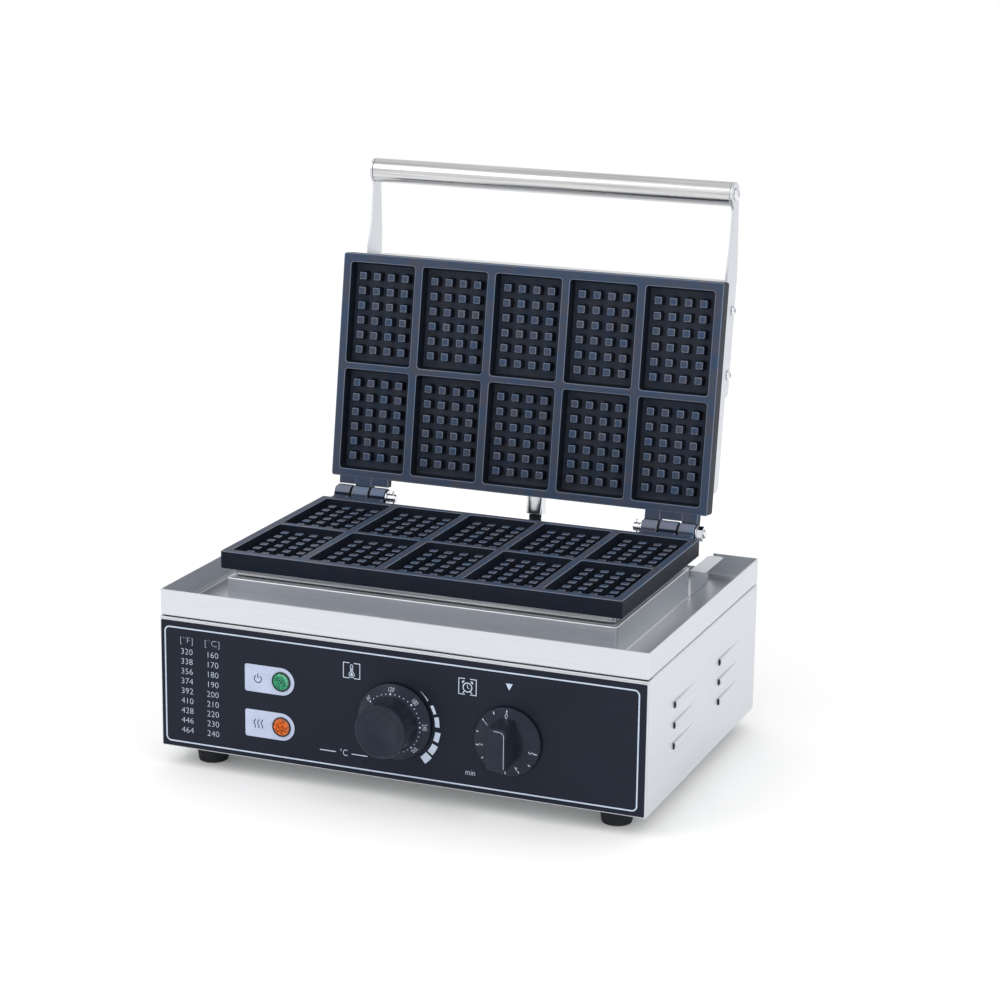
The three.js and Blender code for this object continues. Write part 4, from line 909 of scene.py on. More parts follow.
@dataclass
class Body:
    """Bent-sheet body with its louvres, the front panel and the feet."""

    bend: float = 2.4
    flange: float = 10.0
    louvre_length: float = 61.0
    louvre_height: float = 7.0
    louvre_rise: float = 2.4
    louvre_skin: float = 0.9
    louvre_tops: tuple[float, ...] = (99.0, 80.6, 62.2)
    louvre_middles: Point = (-54.075, 71.07)
    slot: Point = (20.0, 43.92)  # from the front end of a louvre
    gland_radius: float = 8.2
    gland_cut: Point = (130.0, 150.0)  # from before the back to behind it

    def _louvre_places(self) -> list[tuple[int, float, float]]:
        """Side, front end and top of each louvre."""
        return [
            (side, middle - self.louvre_length / 2 + HINGE_AT.y - CAD_HINGE_Y, z)
            for side in (-1, 1) for middle in self.louvre_middles for z in self.louvre_tops]

    def _wrap(self) -> None:
        """Two sides and the back in one sheet with a flange along the top."""
        low, high = box_mm("body_wrap")
        x, y0, y1 = high.x - 3.0, low.y, high.y
        maker = Maker("body_wrap")

        def path(drawn: float) -> list[Point]:
            """Line of the sheet seen from above, drawn in."""
            outline, count = rounded(rectangle(-x, x, y0, y1), self.bend, drawn), ARC + 1
            return [(x - drawn, y0), *outline[2 * count:], (drawn - x, y0)]

        top, s = high.z, SHEET
        rows = [(0, low.z), (0, top - 1.6), (0.2, top - 0.8), (0.8, top - 0.2), (1.6, top)]
        rows += [(self.flange, top), (self.flange, top - s), (s + 0.6, top - s), (s, top - s - 0.6)]
        rows += [(s, low.z)]
        rings = [maker.ring(Vector((u, v, z)) for u, v in path(drawn)) for drawn, z in rows]
        maker.skin(rings + rings[:1], closed=False)
        for end in (0, -1):
            maker.bm.faces.new([ring[end] for ring in rings])
        wrap = maker.solid()
        tool = Maker("slots")
        for side, front, z in self._louvre_places():
            inner, outer = sorted((side * (x - 4), side * (x + 4)))
            tool.block(
                (inner, front + self.slot[0], z - self.louvre_height + 0.6),
                (outer, front + self.slot[1], z - 0.6))
        gland_low, gland_high = box_mm("cable_gland")
        centre, r, (start, end) = (gland_low + gland_high) / 2, self.gland_radius, self.gland_cut
        tool.turn([(0, -start), (r, -start), (r, -end), (0, -end)], to_front(centre.x, 0, centre.z), 32)
        cut(wrap, tool, SHARP)
        dressed(wrap, Finishes.SATIN, "base", ["body_wrap"])

    def _louvres(self) -> None:
        """Pressed hoods, open at the front end and flush at the back end."""
        hood, half, length = Maker("hood"), self.louvre_height / 2, self.louvre_length

        def section(share: float, lift: float) -> Ring:
            """Arch of the skin at a share of the hood's length."""
            rise, points = self.louvre_rise * (1 - share ** 1.6), []
            for t in [math.pi * k / 12 for k in range(13)]:
                bump = math.sin(t) ** 0.6
                points.append((
                    rise * bump - lift * (0.4 + 0.6 * bump), length * share,
                    -math.cos(t) * (half - lift * 0.4)))
            return hood.ring(points)

        over, under = (
            [section(share, lift) for share in (0, 0.03, 0.12, 0.3, 0.5, 0.7, 0.85, 0.95, 1.0)]
            for lift in (0, self.louvre_skin))
        hood.skin(over, closed=False)
        hood.skin(under, closed=False)
        for end in (0, -1):
            hood.skin([over[end], under[end]], closed=False)
            hood.skin([[ring[end] for ring in over], [ring[end] for ring in under]], closed=False)
        places = self._louvre_places()
        points = [(side * (SIDE_X - 0.05), front, z - half) for side, front, z in places]
        turns = [(0, 0 if side > 0 else math.pi, 0) for side, _, _ in places]
        louvres = Repeat(hood.solid(sharp=50)).on("louvres", points, Finishes.SATIN, turns)
        dressed(louvres, Finishes.SATIN, "base")

    def _panel(self) -> None:
        """Front panel: flat face, a groove and a bead along its folded top."""
        low, high = box_mm("front_panel")
        y, top, s = low.y, high.z, SHEET
        profile = [(y + 0.5, low.z), (y, low.z + 0.5), (y, top - 1.9), (y + 0.55, top - 1.75)]
        profile += [(y + 0.55, top - 1.35), (y + 0.1, top - 1.15), (y, top - 0.75), (y + 0.25, top - 0.2)]
        profile += [(y + 0.8, top), (high.y, top), (high.y, top - s), (y + 1.8, top - s)]
        profile += [(y + s, top - 1.8), (y + s, low.z)]
        maker = Maker("front_panel")
        ends = [(0, 0.7), (0.2, 0.2), (0.7, 0)]  # from the end, and how far the face is drawn back
        maker.loft([
            [(x, min(max(v, y + back), y + s) if v < y + 1 else v, z) for v, z in profile]
            for x, back in [(low.x + a, b) for a, b in ends] + [(high.x - a, b) for a, b in reversed(ends)]])
        maker.finish(Finishes.SATIN, "base", ["front_panel"])

    def _feet(self) -> None:
        """Rubber feet with a soft lower edge and a recess for the screw."""
        profile = [(4.9, 6), (4.9, 0.6), (5.5, 0), (11.8, 0), (12.7, 0.4), (13.1, 1.3), (15.2, 15.6)]
        profile += [(15.4, 17.0), (15.1, 17.7), (14.4, 18), (3, 18), (3, 6)]
        for name in ("foot_front_left", "foot_front_right", "foot_rear_left", "foot_rear_right"):
            form = Maker("foot")
            form.turn(profile, as_is, 48, around=True)
            low, high = box_mm(name)
            middle = (low + high) / 2
            foot = Repeat(form.solid(sharp=50)).on(name, [(middle.x, middle.y, 0)], Finishes.RUBBER)
            dressed(foot, Finishes.RUBBER, "base", [name])

    def build(self) -> None:
        """Bends the body and puts it on its feet."""
        self._wrap()
        self._louvres()
        self._panel()
        self._feet()


# Control panel


@dataclass
class ControlPanel:
    """Dark film with its prints, the two lamps and the two dials."""

    base: float = 18.0
    outline: tuple[float, float, float, float] = (-220.5, 218.0, 5.0, 111.0)
    columns: Point = (-199.0, -174.0)
    first_row: float = 89.0
    row_pitch: float = 9.0
    celsius: tuple[int, ...] = tuple(range(160, 250, 10))
    lamp_x: float = -107.55
    lamp_heights: Point = (74.1, 33.0)
    plate_left: float = -140.5
    plate_half: float = 12.35
    plate_corner: float = 2.0
    symbol_x: float = -130.0
    dial_height: float = 54.0
    unit_height: float = 18.0
    dashes: tuple[Point, ...] = ((-71.0, -56.0), (-41.0, -26.0))
    blocks: tuple[tuple[float, ...], ...] = (  # middle, half its angle, inner and outer radius
        (22.6, 6.0, 36.4, 39.2), (5.7, 6.6, 36.4, 40.5), (-13.9, 6.3, 37.0, 41.9),
        (-30.9, 6.4, 37.5, 43.1), (-46.0, 5.6, 37.2, 44.2))

    def __post_init__(self) -> None:
        """Takes the faces of the film from its node."""
        self.low, self.high = box_mm("control_fascia")
        self.on_film = to_front(0, self.low.y - PRINT_LIFT, self.base)
        self.on_label = to_front(0, self.low.y - 2 * PRINT_LIFT, self.base)

    def _film(self) -> None:
        """The film itself, its corners slightly rounded."""
        low, high = self.low, self.high
        maker = Maker("control_fascia")
        outline = rounded(rectangle(low.x, high.x, low.z, high.z), 1.0)
        maker.prism(outline, (0, high.y - low.y), to_front(0, high.y, 0), 0.12)
        maker.finish(Finishes.FILM, "base", ["control_fascia"])

    def _prints(self) -> None:
        """Outline, scale table, icons and marks in pale ink."""
        maker, place = Maker("pale_prints"), self.on_film
        maker.band(*(rounded(rectangle(*self.outline), 5, drawn, 8) for drawn in (0, 1.25)), place)
        for row, value in enumerate(self.celsius):
            height = self.first_row - row * self.row_pitch
            for x, number in zip(self.columns, (round(value * 1.8 + 32), value)):
                maker.lettering(str(number), 5.6, (x, height), place, 1.05, -0.02)
        for x, unit in zip(self.columns, ("[°F]", "[°C]")):
            maker.lettering(unit, 5.8, (x, self.first_row + 10.5), place, 1.12, -0.03)
        self._brackets(maker, (-48.6, -33.3), (86.0, 100.2))
        self._thermometer(maker, (-40.95, 93.1))
        self._brackets(maker, (57.8, 73.6), (86.0, 100.5))
        self._clock(maker, (65.7, 92.6))
        maker.flat([(100.0, 101.0), (103.15, 95.0), (106.3, 101.0)], place)
        maker.lettering("°C", 6.0, (-48.5, self.unit_height), place)
        for dash in self.dashes:
            maker.line([(x, self.unit_height) for x in dash], 0.8, place)
        maker.lettering("min", 5.4, (69.0, 17.4), place)
        centre = (0.0, self.dial_height)
        outer, inner = arc(centre, 37.4, 52.5, 36), []
        for k, (x, z) in enumerate(outer):
            share = 0.996 - 0.022 * k / PRINTED_ARC  # the line gets thicker along its way
            inner.append((x * share, centre[1] + (z - centre[1]) * share))
        maker.band(outer, inner, place, closed=False)
        for middle, half, *radii in self.blocks:
            lines = [arc(centre, radius, middle + half, middle - half) for radius in radii]
            maker.band(*lines, place, closed=False)
        maker.ink(Finishes.PALE_INK, "base")

    def _brackets(self, maker: Maker, xs: Point, zs: Point) -> None:
        """Square brackets round an icon."""
        for x, way in zip(xs, (1, -1)):
            maker.line([(x, zs[0]), (x, zs[1])], 0.7, self.on_film)
            for z, rise in zip(zs, (0.35, -0.35)):
                maker.line([(x + 0.35 * way, z + rise), (x + 5.6 * way, z + rise)], 0.7, self.on_film)

    def _thermometer(self, maker: Maker, at: Point) -> None:
        """Thermometer icon: bulb, tube and column."""
        x, z = at
        bulb = (x, z - 3.6)
        outer, inner = (
            arc(bulb, radius, start, 540 - start) + arc((x, z + 4.4), top, 0, 180)
            for radius, start, top in ((2.8, 118, 1.35), (2.2, 108, 0.75)))
        maker.band(outer, inner, self.on_film)
        maker.flat(arc(bulb, 1.4, 0, 330), self.on_film)
        maker.line([(x, z - 2.4), (x, z + 2.4)], 0.6, self.on_film)

    def _clock(self, maker: Maker, at: Point) -> None:
        """Alarm clock icon: ring, hands, bells and feet."""
        x, z = at
        maker.band(arc(at, 4.4, 0, 348), arc(at, 3.5, 0, 348), self.on_film)
        maker.line([(x, z + 2.4), (x, z), (x + 1.7, z - 1.0)], 0.6, self.on_film)
        for way in (-1, 1):
            maker.flat(arc((x + 3.6 * way, z + 4.2), 1.5, -45 * way, 180 - 45 * way), self.on_film)
            maker.line([(x + 2.9 * way, z - 3.6), (x + 4.2 * way, z - 5.2)], 0.8, self.on_film)

    def _labels(self) -> None:
        """The pale plates round the lamps with a dark symbol on each."""
        plates, marks = Maker("label_plates"), Maker("label_symbols")
        half, left, r = self.plate_half, self.plate_left, self.plate_corner
        for z in self.lamp_heights:
            outline = arc((left, z - half + r), r, 180, 270, ARC)
            outline += arc((self.lamp_x, z), half, -90, 90, 18)
            outline += arc((left, z + half - r), r, 90, 180, ARC)
            plates.flat(outline, self.on_film)
        x, (z, low_z) = self.symbol_x, self.lamp_heights
        ring = [arc((x, z - 0.3), 3.8, 122, 418), arc((x, z - 0.3), 2.9, 124, 416)]
        marks.band(*ring, self.on_label, closed=False)
        marks.line([(x, z + 0.2), (x, z + 4.6)], 0.9, self.on_label)
        for offset in (-3.4, 0.0, 3.4):
            wave = [(x + offset + 0.8 * math.sin(t * 0.9), low_z - 4 + t * 0.9) for t in range(10)]
            marks.line(wave, 0.85, self.on_label)
        plates.ink(Finishes.LABEL_INK, "base")
        marks.ink(Finishes.DARK_INK, "base")

    def _lamp(self, name: str, height: float, finish: Finishes) -> None:
        """Faceted lens in a thin dark bezel."""
        x, y, z = self.lamp_x, self.low.y, self.base + height
        place = to_front(x, y, z)
        lens = Maker(name)
        lens.turn([(0, 0.9), (6.9, 0.9), (7.5, 0.7), (7.7, 0.3), (7.7, -1.0), (0, -1.0)], place, 40)
        lens.finish(finish, "base", [name])
        facet = Maker("facet")
        facet.loft([
            [(half * a, -rise, half * b) for a, b in ((1, 0), (0, 1), (-1, 0), (0, -1))]
            for half, rise in ((1.28, -0.2), (1.28, 0.0), (0.12, 1.15))])
        cells = [((i + j) * 0.92, (i - j) * 0.92) for i in range(-8, 9) for j in range(-8, 9)]
        points = [(x + u, y - 0.88, z + v) for u, v in cells if math.hypot(u, v) < 6.2]
        facets = Repeat(facet.solid(sharp=10), 0.04, seed=4).on(name + "_facets", points, finish)
        facets.data.shade_flat()
        dressed(facets, finish, "base", weighted=False)
        bezel = Maker(name + "_bezel")
        profile = [(7.7, -0.4), (7.75, 0.9), (8.0, 1.25), (8.45, 1.2), (8.8, 0.8), (8.9, -0.4)]
        bezel.turn(profile, place, 48, around=True)
        bezel.finish(Finishes.BLACK, "base")

    def build(self) -> None:
        """Lays the film, prints it and sets the lamps and dials."""
        self._film()
        self._prints()
        self._labels()
        self._lamp("power_lamp_lens", self.lamp_heights[0], Finishes.GREEN)
        self._lamp("heat_lamp_lens", self.lamp_heights[1], Finishes.ORANGE)
        TemperatureDial().build()
        TimerDial().build()


class Dial:
    """A dial turned about its shaft, with marks printed on its sloping skirt."""

    name, body, joint = "temperature_dial", "temperature_control", "temperature_turn"
    slope = (32.4, 3.0, 24.8, 7.2)  # radius and height at the foot and at the top of the slope

    def __init__(self) -> None:
        """Takes the axis from the joint, the back and the front from the node."""
        low, high = box_mm(self.name)
        axis = next(Vector(j["pos_m"]) / MM for j in frame["joints"] if j["name"] == self.joint)
        self.place, self.depth = to_front(axis.x, high.y, axis.z), high.y - low.y

    def on_skirt(self, angle: float, radius: float) -> Placer:
        """Placer for marks on the slope: u clockwise, v outwards; angle clockwise from the top."""
        r0, h0, r1, h1 = self.slope

        def place(u: float, v: float, w: float) -> Vector:
            """Point over the slope."""
            r, t = radius + v, math.radians(angle) + u / radius
            height = h0 + (r0 - r) * (h1 - h0) / (r0 - r1) + PRINT_LIFT + w
            return self.place(r * math.sin(t), r * math.cos(t), height)

        return place

    def skirt(self, rim: float) -> list[Point]:
        """Profile of the skirt from the middle of its back to the top of its slope."""
        r0, h0, r1, h1 = self.slope
        edge = [(rim - 1.0, 0.0), (rim - 0.4, 0.3), (rim, 1.1), (rim - 0.1, 1.9), (rim - 0.6, 2.6)]
        return [(0, 0), *edge, (r0, h0), (r1, h1)]


class TemperatureDial(Dial):
    """Round smooth grip on a skirt that carries the scale."""

    numbers = (60, 120, 180, 240, 300)
    start, step, parts = -49.5, 46.5, 5
    grip, rim, dots = 23.7, 33.8, 26.1
    off = -90.0  # place of the mark for off

    def _dot(self, maker: Maker, angle: float, radius: float, size: float) -> None:
        """Round printed dot on the skirt."""
        maker.flat(arc((0, 0), size, 0, 330, 11), self.on_skirt(angle, radius))

    def build(self) -> None:
        """Turns the dial and prints its scale."""
        g, top = self.grip, self.depth
        profile = self.skirt(self.rim)
        profile += [(24.3, 7.7), (g + 0.1, 8.8), (g, 10.5), (g - 0.2, 18.0), (g - 0.3, top - 2.2)]
        profile += [
            (g - 0.3 - 1.6 * (1 - math.cos(t)), top - 2.2 + 2.0 * math.sin(t))
            for t in (0.3, 0.6, 0.9, 1.2, 1.5)]
        profile += [(21.6, top - 0.1), (21.0, top - 0.6), (20.0, top - 0.85), (16.5, top - 0.9)]
        profile += [
            (15.5 * math.cos(t), top - 0.9 - 3.8 * math.sin(t) ** 2)
            for t in (0.3, 0.5, 0.7, 0.9, 1.1, 1.3, 1.45)]
        maker = Maker(self.name)
        maker.turn([*profile, (0, top - 4.7)], self.place, 96)
        maker.finish(Finishes.DIAL, self.body, [self.name], sharp=50)
        ink = Maker("temperature_scale")
        for i in range((len(self.numbers) - 1) * self.parts + 4):
            angle = self.start + i * self.step / self.parts
            if i % self.parts:
                self._dot(ink, angle, self.dots, 0.46)
            else:
                number = str(self.numbers[i // self.parts])
                ink.lettering(number, 3.7, (0, 0), self.on_skirt(angle, 29.4), 0.8)
                self._dot(ink, angle, self.dots, 0.8)
        self._dot(ink, self.off, 31.0, 0.6)
        ink.ink(Finishes.PALE_INK, self.body)


class TimerDial(Dial):
    """Bar grip on a shallow cone; the skirt carries minutes, counted to the left."""

    name, body, joint = "timer_dial", "timer_control", "timer_turn"
    slope = (28.5, 3.0, 20.4, 5.5)
    minutes, step, scale = 5, -51.0, 23.2
    bar = (-8.4, 9.6, -17.0, 21.2)

    def _grip(self, maker: Maker) -> None:
        """Bar with a sloping upper end, and ribs down both flanks."""
        x0, x1, z0, z1 = self.bar
        top = self.depth
        rows = [(0, 4.0, 0.0), (0.2, top - 3.0, 1.2), (0.4, top - 1.0, 1.6)]
        rows += [(0.8, top - 0.3, 1.7), (1.5, top, 1.7)]
        maker.loft([
            [self.place(u, v, height) for u, v in rounded(rectangle(x0, x1, z0, z1 - short), 3.6, drawn, 6)]
            for drawn, height, short in rows])
        for side in (-1, 1):
            inner, outer = sorted((side * 7.5, side * 8.75))
            for v in [9.5 - 4.4 * k for k in range(6)]:
                a, b = self.place(inner, v, 10.0), self.place(outer, v + 0.9, top - 3.5)
                maker.block((a.x, b.y, a.z), (b.x, a.y, b.z), 0.25)

    def build(self) -> None:
        """Turns the skirt, adds the grip and prints the minutes."""
        maker = Maker(self.name)
        maker.turn(self.skirt(30.0) + [(18.0, 6.2), (16.5, 6.5), (0, 6.6)], self.place, 96)
        self._grip(maker)
        maker.finish(Finishes.DIAL, self.body, [self.name], sharp=45)
        ink = Maker("timer_scale")
        for i in range(self.minutes + 1):
            at = self.on_skirt(i * self.step, self.scale)
            ink.lettering(str(i), 4.8, (0, 0), at, 0.85, -0.01)
            ink.line([(0, 3.0), (0, 5.0)], 0.8, at)
            if i < self.minutes:
                ink.line([(0, 2.6), (0, 5.0)], 0.7, self.on_skirt((i + 0.5) * self.step, self.scale))
        # thin pale line printed along the top and right edges of the grip's front face
        edge, end = self.bar[1] - 1.7, self.bar[3] - 3.2
        edge_line = [(edge, self.bar[2] + 3.0), *arc((edge - 4, end - 4), 4, 0, 90, ARC), (edge - 9, end + 0.4)]
        ink.line(edge_line, 0.4, lambda u, v, w: self.place(u, v, self.depth + PRINT_LIFT))
        ink.ink(Finishes.PALE_INK, self.body)


# Between the base and the lid


@dataclass
class Deck:
    """Shallow bright pan under the lower plate, and the two angles on the tray behind the pedestal."""

    corner: float = 5.0
    pan_sheet: float = 0.8
    bracket_sheet: float = 1.5
    bracket_corner: float = 4.0

    def build(self) -> None:
        """Draws the pan and bends the angles."""
        low, high = box_mm("lower_heater_pan")
        s = self.pan_sheet
        rows = [(1.5, low.z), (0.7, low.z + 0.2), (0.2, low.z + 0.7), (0, low.z + 1.5), (0, high.z - 0.2)]
        rows += [(0.2, high.z), (s - 0.2, high.z), (s, high.z - 0.2), (s, low.z + 1.8), (s + 1.0, low.z + s)]
        maker = Maker("lower_heater_pan")
        maker.loft(levels(rectangle(low.x, high.x, low.y, high.y), self.corner, rows, 8))
        maker.finish(Finishes.POLISHED, "base", ["lower_heater_pan"])
        for name, side in (("rear_bracket_left", -1), ("rear_bracket_right", 1)):
            low, high = box_mm(name)
            inner, s, r = low.x if side > 0 else high.x, self.bracket_sheet, self.bracket_corner
            maker = Maker(name)
            outline = rounded(rectangle(low.x, high.x, low.y, high.y), r)
            maker.prism(outline, (high.z - s, high.z), as_is, 0.4)
            start, end = sorted((inner, inner + side * s))
            maker.block((start, low.y + r, low.z), (end, high.y - r, high.z - 0.2), 0.35)
            maker.finish(Finishes.SATIN, "base", [name])


@dataclass
class Hinges:
    """Chrome pins through the knuckles with washers, nuts and split pins."""

    pin: float = 4.0
    nut: float = 6.8
    outer: float = 178.0
    inner: float = 127.5

    def build(self) -> None:
        """Builds both pins."""
        place, y, z = along_x(HINGE_AT.y, HINGE_AT.z), HINGE_AT.y, HINGE_AT.z
        for name, side in (("hinge_pin_left", -1), ("hinge_pin_right", 1)):
            low, high = box_mm(name)
            tail, tip = (low.x, high.x) if side > 0 else (-high.x, self.outer + 2.2)
            maker = Maker(name)
            discs = [(self.pin, tail, tip, 0.7, 32), (self.nut, self.inner - 1.3, self.inner - 0.3, 0.2, 40)]
            if side > 0:
                discs.append((self.nut, self.outer + 0.3, self.outer + 1.3, 0.2, 40))
                hexagon = [
                    (self.nut * math.cos(math.pi / 3 * k + 0.3), self.nut * math.sin(math.pi / 3 * k + 0.3))
                    for k in range(6)]
                maker.prism(hexagon, (self.outer + 1.3, self.outer + 6.8), place, 0.6)
            else:
                discs.append((self.nut, self.outer + 0.3, self.outer + 2.2, 0.8, 40))
            for r, start, end, edge, steps in discs:
                a, b = sorted((side * start, side * end))
                profile = [(0, a), (r - edge, a), (r, a + edge), (r, b - edge), (r - edge, b), (0, b)]
                maker.turn(profile, place, steps)
            x = side * (tail + 3.1)
            maker.tube([(x, y + 0.6 * math.sin(k * 0.5), z - 7 + k) for k in range(13)], 0.9, 8)
            eye = [6.1 * k / 12 for k in range(13)]
            maker.tube([(x, y + 1.7 * math.sin(t), z + 5.3 + 1.5 * math.cos(t)) for t in eye], 0.6, 6)
            maker.finish(Finishes.CHROME, "base", [name])


@dataclass
class Conduit:
    """Riser on the deck, the hose above it and the chrome sleeve that takes it into the lid."""

    x: float = 12.0
    hose: float = 6.0
    groove: float = 0.5
    loops: int = 12
    sleeve: float = 9.4
    sleeve_end: float = 2.7
    depth: float = 27.4

    def build(self) -> None:
        """Builds the three pieces; the hose runs from the riser to the sleeve of the lid where it rests."""
        low, high = box_mm("conduit_riser")
        y, base, top = (low.y + high.y) / 2, low.z, high.z
        riser = Maker("conduit_riser")
        riser.turn([
            (5, base), (11.7, base), (12, base + 0.4), (12, base + 2.4), (11.4, base + 3), (7.4, base + 3),
            (7, base + 3.4), (7, top - 6.4), (8.6, top - 6), (9, top - 5.5), (9, top - 0.6), (8.5, top),
            (5, top),
        ], lambda u, v, w: Vector((self.x + u, y + v, w)), 40, around=True)
        riser.finish(Finishes.ZINC, "base", ["conduit_riser"])
        sleeve, r = Maker("conduit_sleeve"), self.sleeve
        sleeve.turn([
            (r, -34.3), (r, -28.3), (10.6, -28.3), (10.8, -28.1), (10.8, -25.7), (10.3, -25.3), (r, -25.1),
            (r, 1.4), (r - 0.2, 2.0), (r - 0.7, 2.35), (r - 1.1, 2.2), (r - 1.5, 1.4), (r - 1.5, -34.3),
        ], lambda u, v, w: Vector((self.x + u, w, self.depth + v)), 56, around=True)
        sleeve.finish(Finishes.CHROME, "lid", ["conduit_sleeve"], LID)
        start = Vector((self.x, y, top + 0.3))
        middle, end = (LID @ Vector((self.x, self.sleeve_end + past, self.depth)) for past in (8.5, 0))
        loops = []
        for k in range(self.loops + 1):
            t = k / self.loops
            centre = start * (1 - t) ** 2 + middle * (2 * t * (1 - t)) + end * t ** 2
            loops.append([
                centre + Vector((u, v, 0)) for u, v in circle(self.hose - self.groove * (k % 2), 28)])
        maker = Maker("conduit_hose")
        maker.loft(loops)
        hose = maker.solid(sharp=60)
        painted(hose, Finishes.RUBBER)
        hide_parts("conduit_hose")
        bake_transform(hose)


@dataclass
class Lid:
    """Cover behind the upper plate, handle arms, bar and their screws, in the shut lid's frame."""

    half: float = 176.0
    near: float = 28.6
    far: float = 226.8
    rim: float = 16.2
    top: float = 67.5
    corner: float = 7.0
    edge: float = 4.0
    arm_foot: float = 119.8
    arm_top: float = 64.0
    arm_width: float = 30.0
    arm_sheet: float = 2.5
    bar: Point = (305.0, 41.0)
    bar_radius: float = 11.25
    screw_drops: Point = (27.2, 86.3)
    seat: float = 0.3

    def _cover(self) -> None:
        """Deep-drawn stainless cover, open towards the plate."""
        outline = rectangle(-self.half, self.half, -self.far, -self.near)
        outer = [(0, self.rim + 0.2), *((self.edge * c, self.top - self.edge * s) for s, c in quarter(5))]
        inner = [(SHEET, self.rim + 0.2), (SHEET, self.top - self.edge)]
        inner += [(SHEET + self.edge, self.top - SHEET)]
        maker = Maker("lid_cover")
        outside, inside = (
            maker.loft(levels(outline, self.corner, rows, 8), first=False) for rows in (outer, inner))
        lips = levels(outline, self.corner, [(0.3, self.rim), (SHEET - 0.3, self.rim)], 8)
        maker.skin([outside[0], *(maker.ring(lip) for lip in lips), inside[0]])
        maker.finish(Finishes.SATIN, "lid", ["lid_cover"], LID)

    def _arms(self) -> None:
        """Flat arms from the cover to the bar."""
        foot = rounded(rectangle(
            self.arm_foot, self.arm_foot + 40, self.arm_top - self.arm_width, self.arm_top), 6.0)
        start, end = foot[:ARC + 1], foot[3 * (ARC + 1):]
        front = [(232, 34), (244, 35.4), (258, 37.6), (272, 39), (286, 39.4), (293, 37.6)]
        back = [(297, 52.6), (290, 53.6), (276, 56.6), (262, 59.4), (248, 62.2), (232, self.arm_top)]
        outline = [*start, *front, *arc(self.bar, self.bar_radius, -140, 110, 25), *back, *end]
        for name, side in (("handle_arm_left", -1), ("handle_arm_right", 1)):
            maker = Maker(name)
            face = self.half + self.seat
            span = sorted((side * face, side * (face + self.arm_sheet)))
            maker.prism([(-u, v) for u, v in reversed(outline)], span, along_x(0, 0), 0.35)
            maker.finish(Finishes.SATIN, "lid", [name], LID)

    def _bar(self) -> None:
        """Polished tube with plugged ends."""
        r, half = self.bar_radius, self.half
        profile = [(0, half - 1), (r - 2.2, half - 1), (r - 2.0, half), (r - 0.4, half), (r, half - 0.4)]
        maker = Maker("handle_bar")
        maker.turn(
            [(u, -w) for u, w in profile] + profile[::-1], along_x(-self.bar[0], self.bar[1]), 96)
        maker.finish(Finishes.POLISHED, "lid", ["handle_bar"], LID)

    def _screws(self) -> None:
        """Dome screws through the arms, and the larger pair into the bar."""
        arm_places = [(self.far - drop, self.arm_top - 7) for drop in self.screw_drops]
        for name, radius, head, shank, places in (
            ("arm_screws", 4.6, 2.8, 2.2, arm_places), ("bar_screws", 6.0, 3.0, 3.0, [self.bar]),
        ):
            rim = 0.45
            dome = [
                (radius * math.cos(t), rim + (head - rim) * math.sin(t)) for t in (0.25, 0.5, 0.8, 1.1, 1.35)]
            maker = Maker("screw")
            maker.turn(
                [(0, -9.0), (shank, -9.0), (shank, 0.0), (radius, 0.0), (radius, rim), *dome, (0, head)],
                as_is, 36)
            form = maker.solid(sharp=50)
            recess, reach, slit = Maker("recess"), radius * 0.52, 0.55
            cross = [
                (u * a - v * b, u * b + v * a) for a, b in ((1, 0), (0, 1), (-1, 0), (0, -1))
                for u, v in ((reach, -slit), (reach, slit), (slit, slit))]
            recess.prism(cross, (head - 1.3, head + 1), as_is, 0.02, 1)
            cut(form, recess, 50)
            points, turns, nodes = [], [], []
            for word, side in (("left", -1), ("right", 1)):
                for k, (s, d) in enumerate(places):
                    x = side * (self.half + self.arm_sheet + self.seat + 0.15)
                    points.append(LID @ Vector((x, -s, d)))
                    turns.append((0, side * math.pi / 2, 0))
                    nodes.append(f"{name[:-1]}_{word}" + (f"_{k + 1}" if len(places) > 1 else ""))
            dressed(Repeat(form).on(name, points, Finishes.CHROME, turns), Finishes.CHROME, "lid", nodes)

    def build(self) -> None:
        """Builds the lid's sheet metal and handle."""
        self._cover()
        self._arms()
        self._bar()
        self._screws()


NODE_FINISHES = {
    Finishes.ZINC: (
        "bottom_plate", "foot_screw_front_left", "foot_screw_front_right", "foot_screw_rear_left",
        "foot_screw_rear_right", "plate_stud_1", "plate_stud_2", "plate_stud_3", "plate_stud_4",
        "thermostat_shaft", "timer_shaft", "lid_heat_shield"),
    Finishes.HEATER: ("lower_heater", "upper_heater"),
    Finishes.CERAMIC: ("terminal_block", "thermostat_body"),
    Finishes.COPPER: ("thermostat_bulb",),
    Finishes.BLACK: ("timer_body", "power_lamp_body", "heat_lamp_body", "cable_gland"),
}


def dress_nodes() -> None:
    """Gives every CAD node that still shows its finish."""
    for finish, names in NODE_FINISHES.items():
        for name in names:
            painted(frame["nodes"][name], finish)


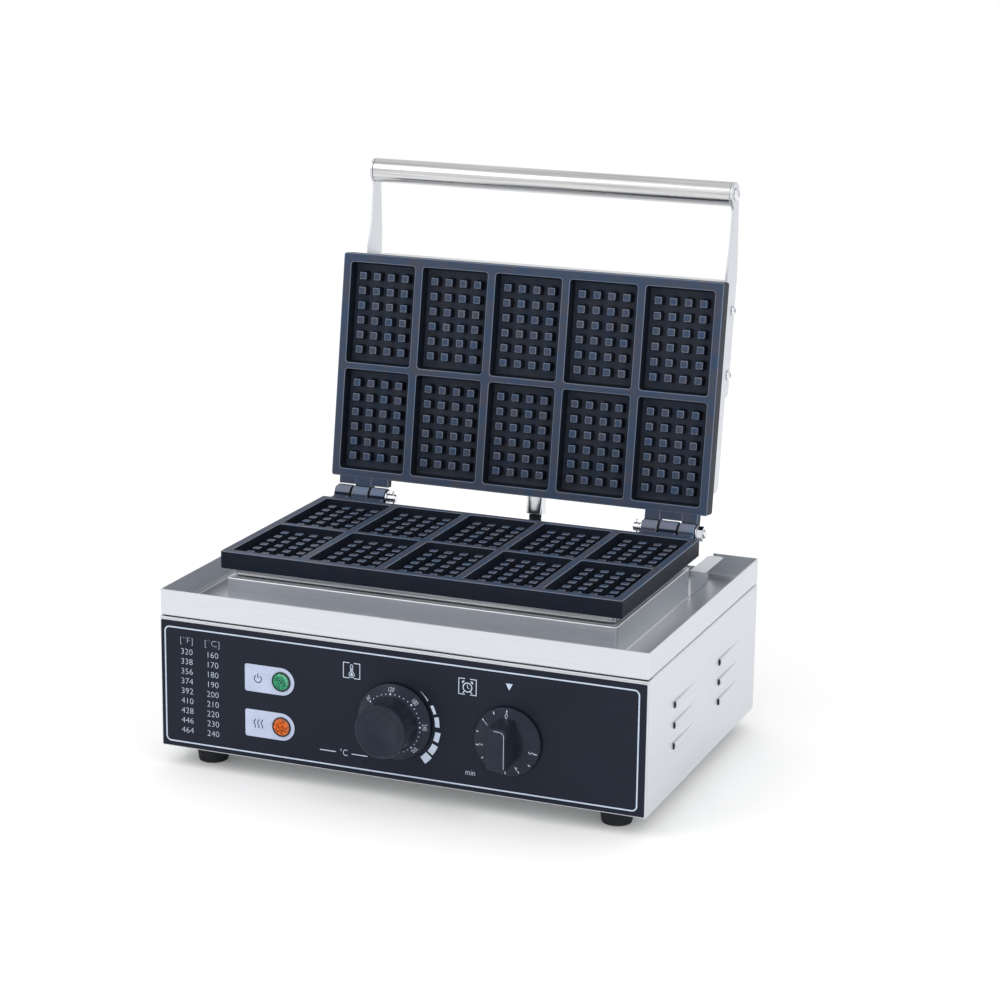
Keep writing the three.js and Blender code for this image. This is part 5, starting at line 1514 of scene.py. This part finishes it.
@dataclass
class Studio:
    """Pale floor, soft lamps, white surround and the camera of the photograph."""

    eye: tuple[float, float, float] = (0.893196, HINGE_AT.y * MM - 2.289147, 0.84754)
    turn: tuple[float, float, float] = (1.3136479, -0.0124535, 0.3802811)
    lens: float = 98.953
    sensor: float = 36.0
    clip: Point = (0.05, 100.0)
    aim: tuple[float, float, float] = (0.0, 0.0, 0.2)
    floor: float = 25.0  # half its width
    fill: float = 0.08  # share of plain white in the floor, to the camera

    def _camera(self) -> None:
        """Camera fitted to the photograph."""
        data = bpy.data.cameras.new("camera")
        data.lens, data.sensor_width = self.lens, self.sensor
        data.clip_start, data.clip_end = self.clip
        camera = linked("camera", data)
        camera.location, camera.rotation_euler = self.eye, self.turn
        bpy.context.scene.camera = camera

    def _floor(self) -> None:
        """White floor that keeps a soft shadow."""
        shader = Shader("studio_floor")
        matt = shader.add("BsdfDiffuse", Color=WHITE).outputs[0]
        glow = shader.add("Emission", Color=WHITE, Strength=1.0).outputs[0]
        path = shader.add("LightPath").outputs
        seen = shader.sum("MAXIMUM", path["Is Camera Ray"], path["Is Glossy Ray"])
        seen = shader.sum("MAXIMUM", seen, path["Is Transmission Ray"])
        shader.close(shader.add("MixShader", _0=shader.sum("MULTIPLY", seen, self.fill), _1=matt, _2=glow))
        mesh, half = bpy.data.meshes.new("floor"), self.floor
        corners = [(x, y, 0) for x, y in rectangle(-half, half, -half, half)]
        mesh.from_pydata(corners, [], [(0, 1, 2, 3)])
        mesh.materials.append(shader.material)
        linked("floor", mesh)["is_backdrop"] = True

    def _lamp(self, name: str, at: Sequence[float], power: float, size: float) -> None:
        """Soft square lamp aimed at the machine."""
        data = bpy.data.lights.new(name, "AREA")
        data.energy, data.size = power, size
        lamp = linked(name, data)
        lamp.location = at
        lamp.rotation_euler = (Vector(self.aim) - Vector(at)).to_track_quat("-Z", "Y").to_euler()

    def _world(self) -> None:
        """White surround, greyer overhead and to the left where metal reflects it, at a plain soft level."""
        world = bpy.data.worlds.new("surround")
        world.use_nodes = True
        bpy.context.scene.world = world
        nodes = Nodes(world.node_tree)
        path = nodes.add("LightPath").outputs
        way = nodes.add("SeparateXYZ", _0=nodes.add("TexCoord").outputs["Generated"]).outputs
        height = nodes.span(way[2], 1.0, 0.85, 0.05, 0.9)
        across = nodes.span(way[0], 1.0, 0.9, -0.45, -0.22)
        plain = nodes.add("Mix", _0=path["Is Glossy Ray"], _2=1.0, _3=nodes.sum("MULTIPLY", height, across))
        seen = nodes.sum("MAXIMUM", path["Is Camera Ray"], path["Is Transmission Ray"])
        level = nodes.add("Mix", _0=seen, _2=plain.outputs[0], _3=1.0)
        glow = nodes.add("Background", Color=WHITE, Strength=level.outputs[0])
        nodes.add("OutputWorld", Surface=glow.outputs[0])

    def build(self) -> None:
        """Sets the stage."""
        self._camera()
        self._floor()
        self._world()
        self._lamp("key", (-1.6, -1.8, 2.4), 18, 1.8)
        self._lamp("fill", (2.2, -1.0, 1.4), 6, 1.6)
        self._lamp("edge", (1.3, -0.5, 1.9), 2.5, 0.35)
        bpy.context.scene.view_settings.view_transform = "Standard"


def main() -> None:
    """Builds every assembly, the stage, the lamps and the camera."""
    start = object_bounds()
    Body().build()
    DripTray().build()
    casting = Casting()
    casting.build("lower_plate", "base", Matrix.Translation(HINGE_AT))
    casting.build("upper_plate", "lid", LID @ Matrix.Rotation(math.pi, 4, "Y"))
    ControlPanel().build()
    Deck().build()
    Hinges().build()
    Conduit().build()
    Lid().build()
    dress_nodes()
    Studio().build()
    [[list(corner) for corner in pair] for pair in (start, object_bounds())]


if __name__ == "__main__":
    main()
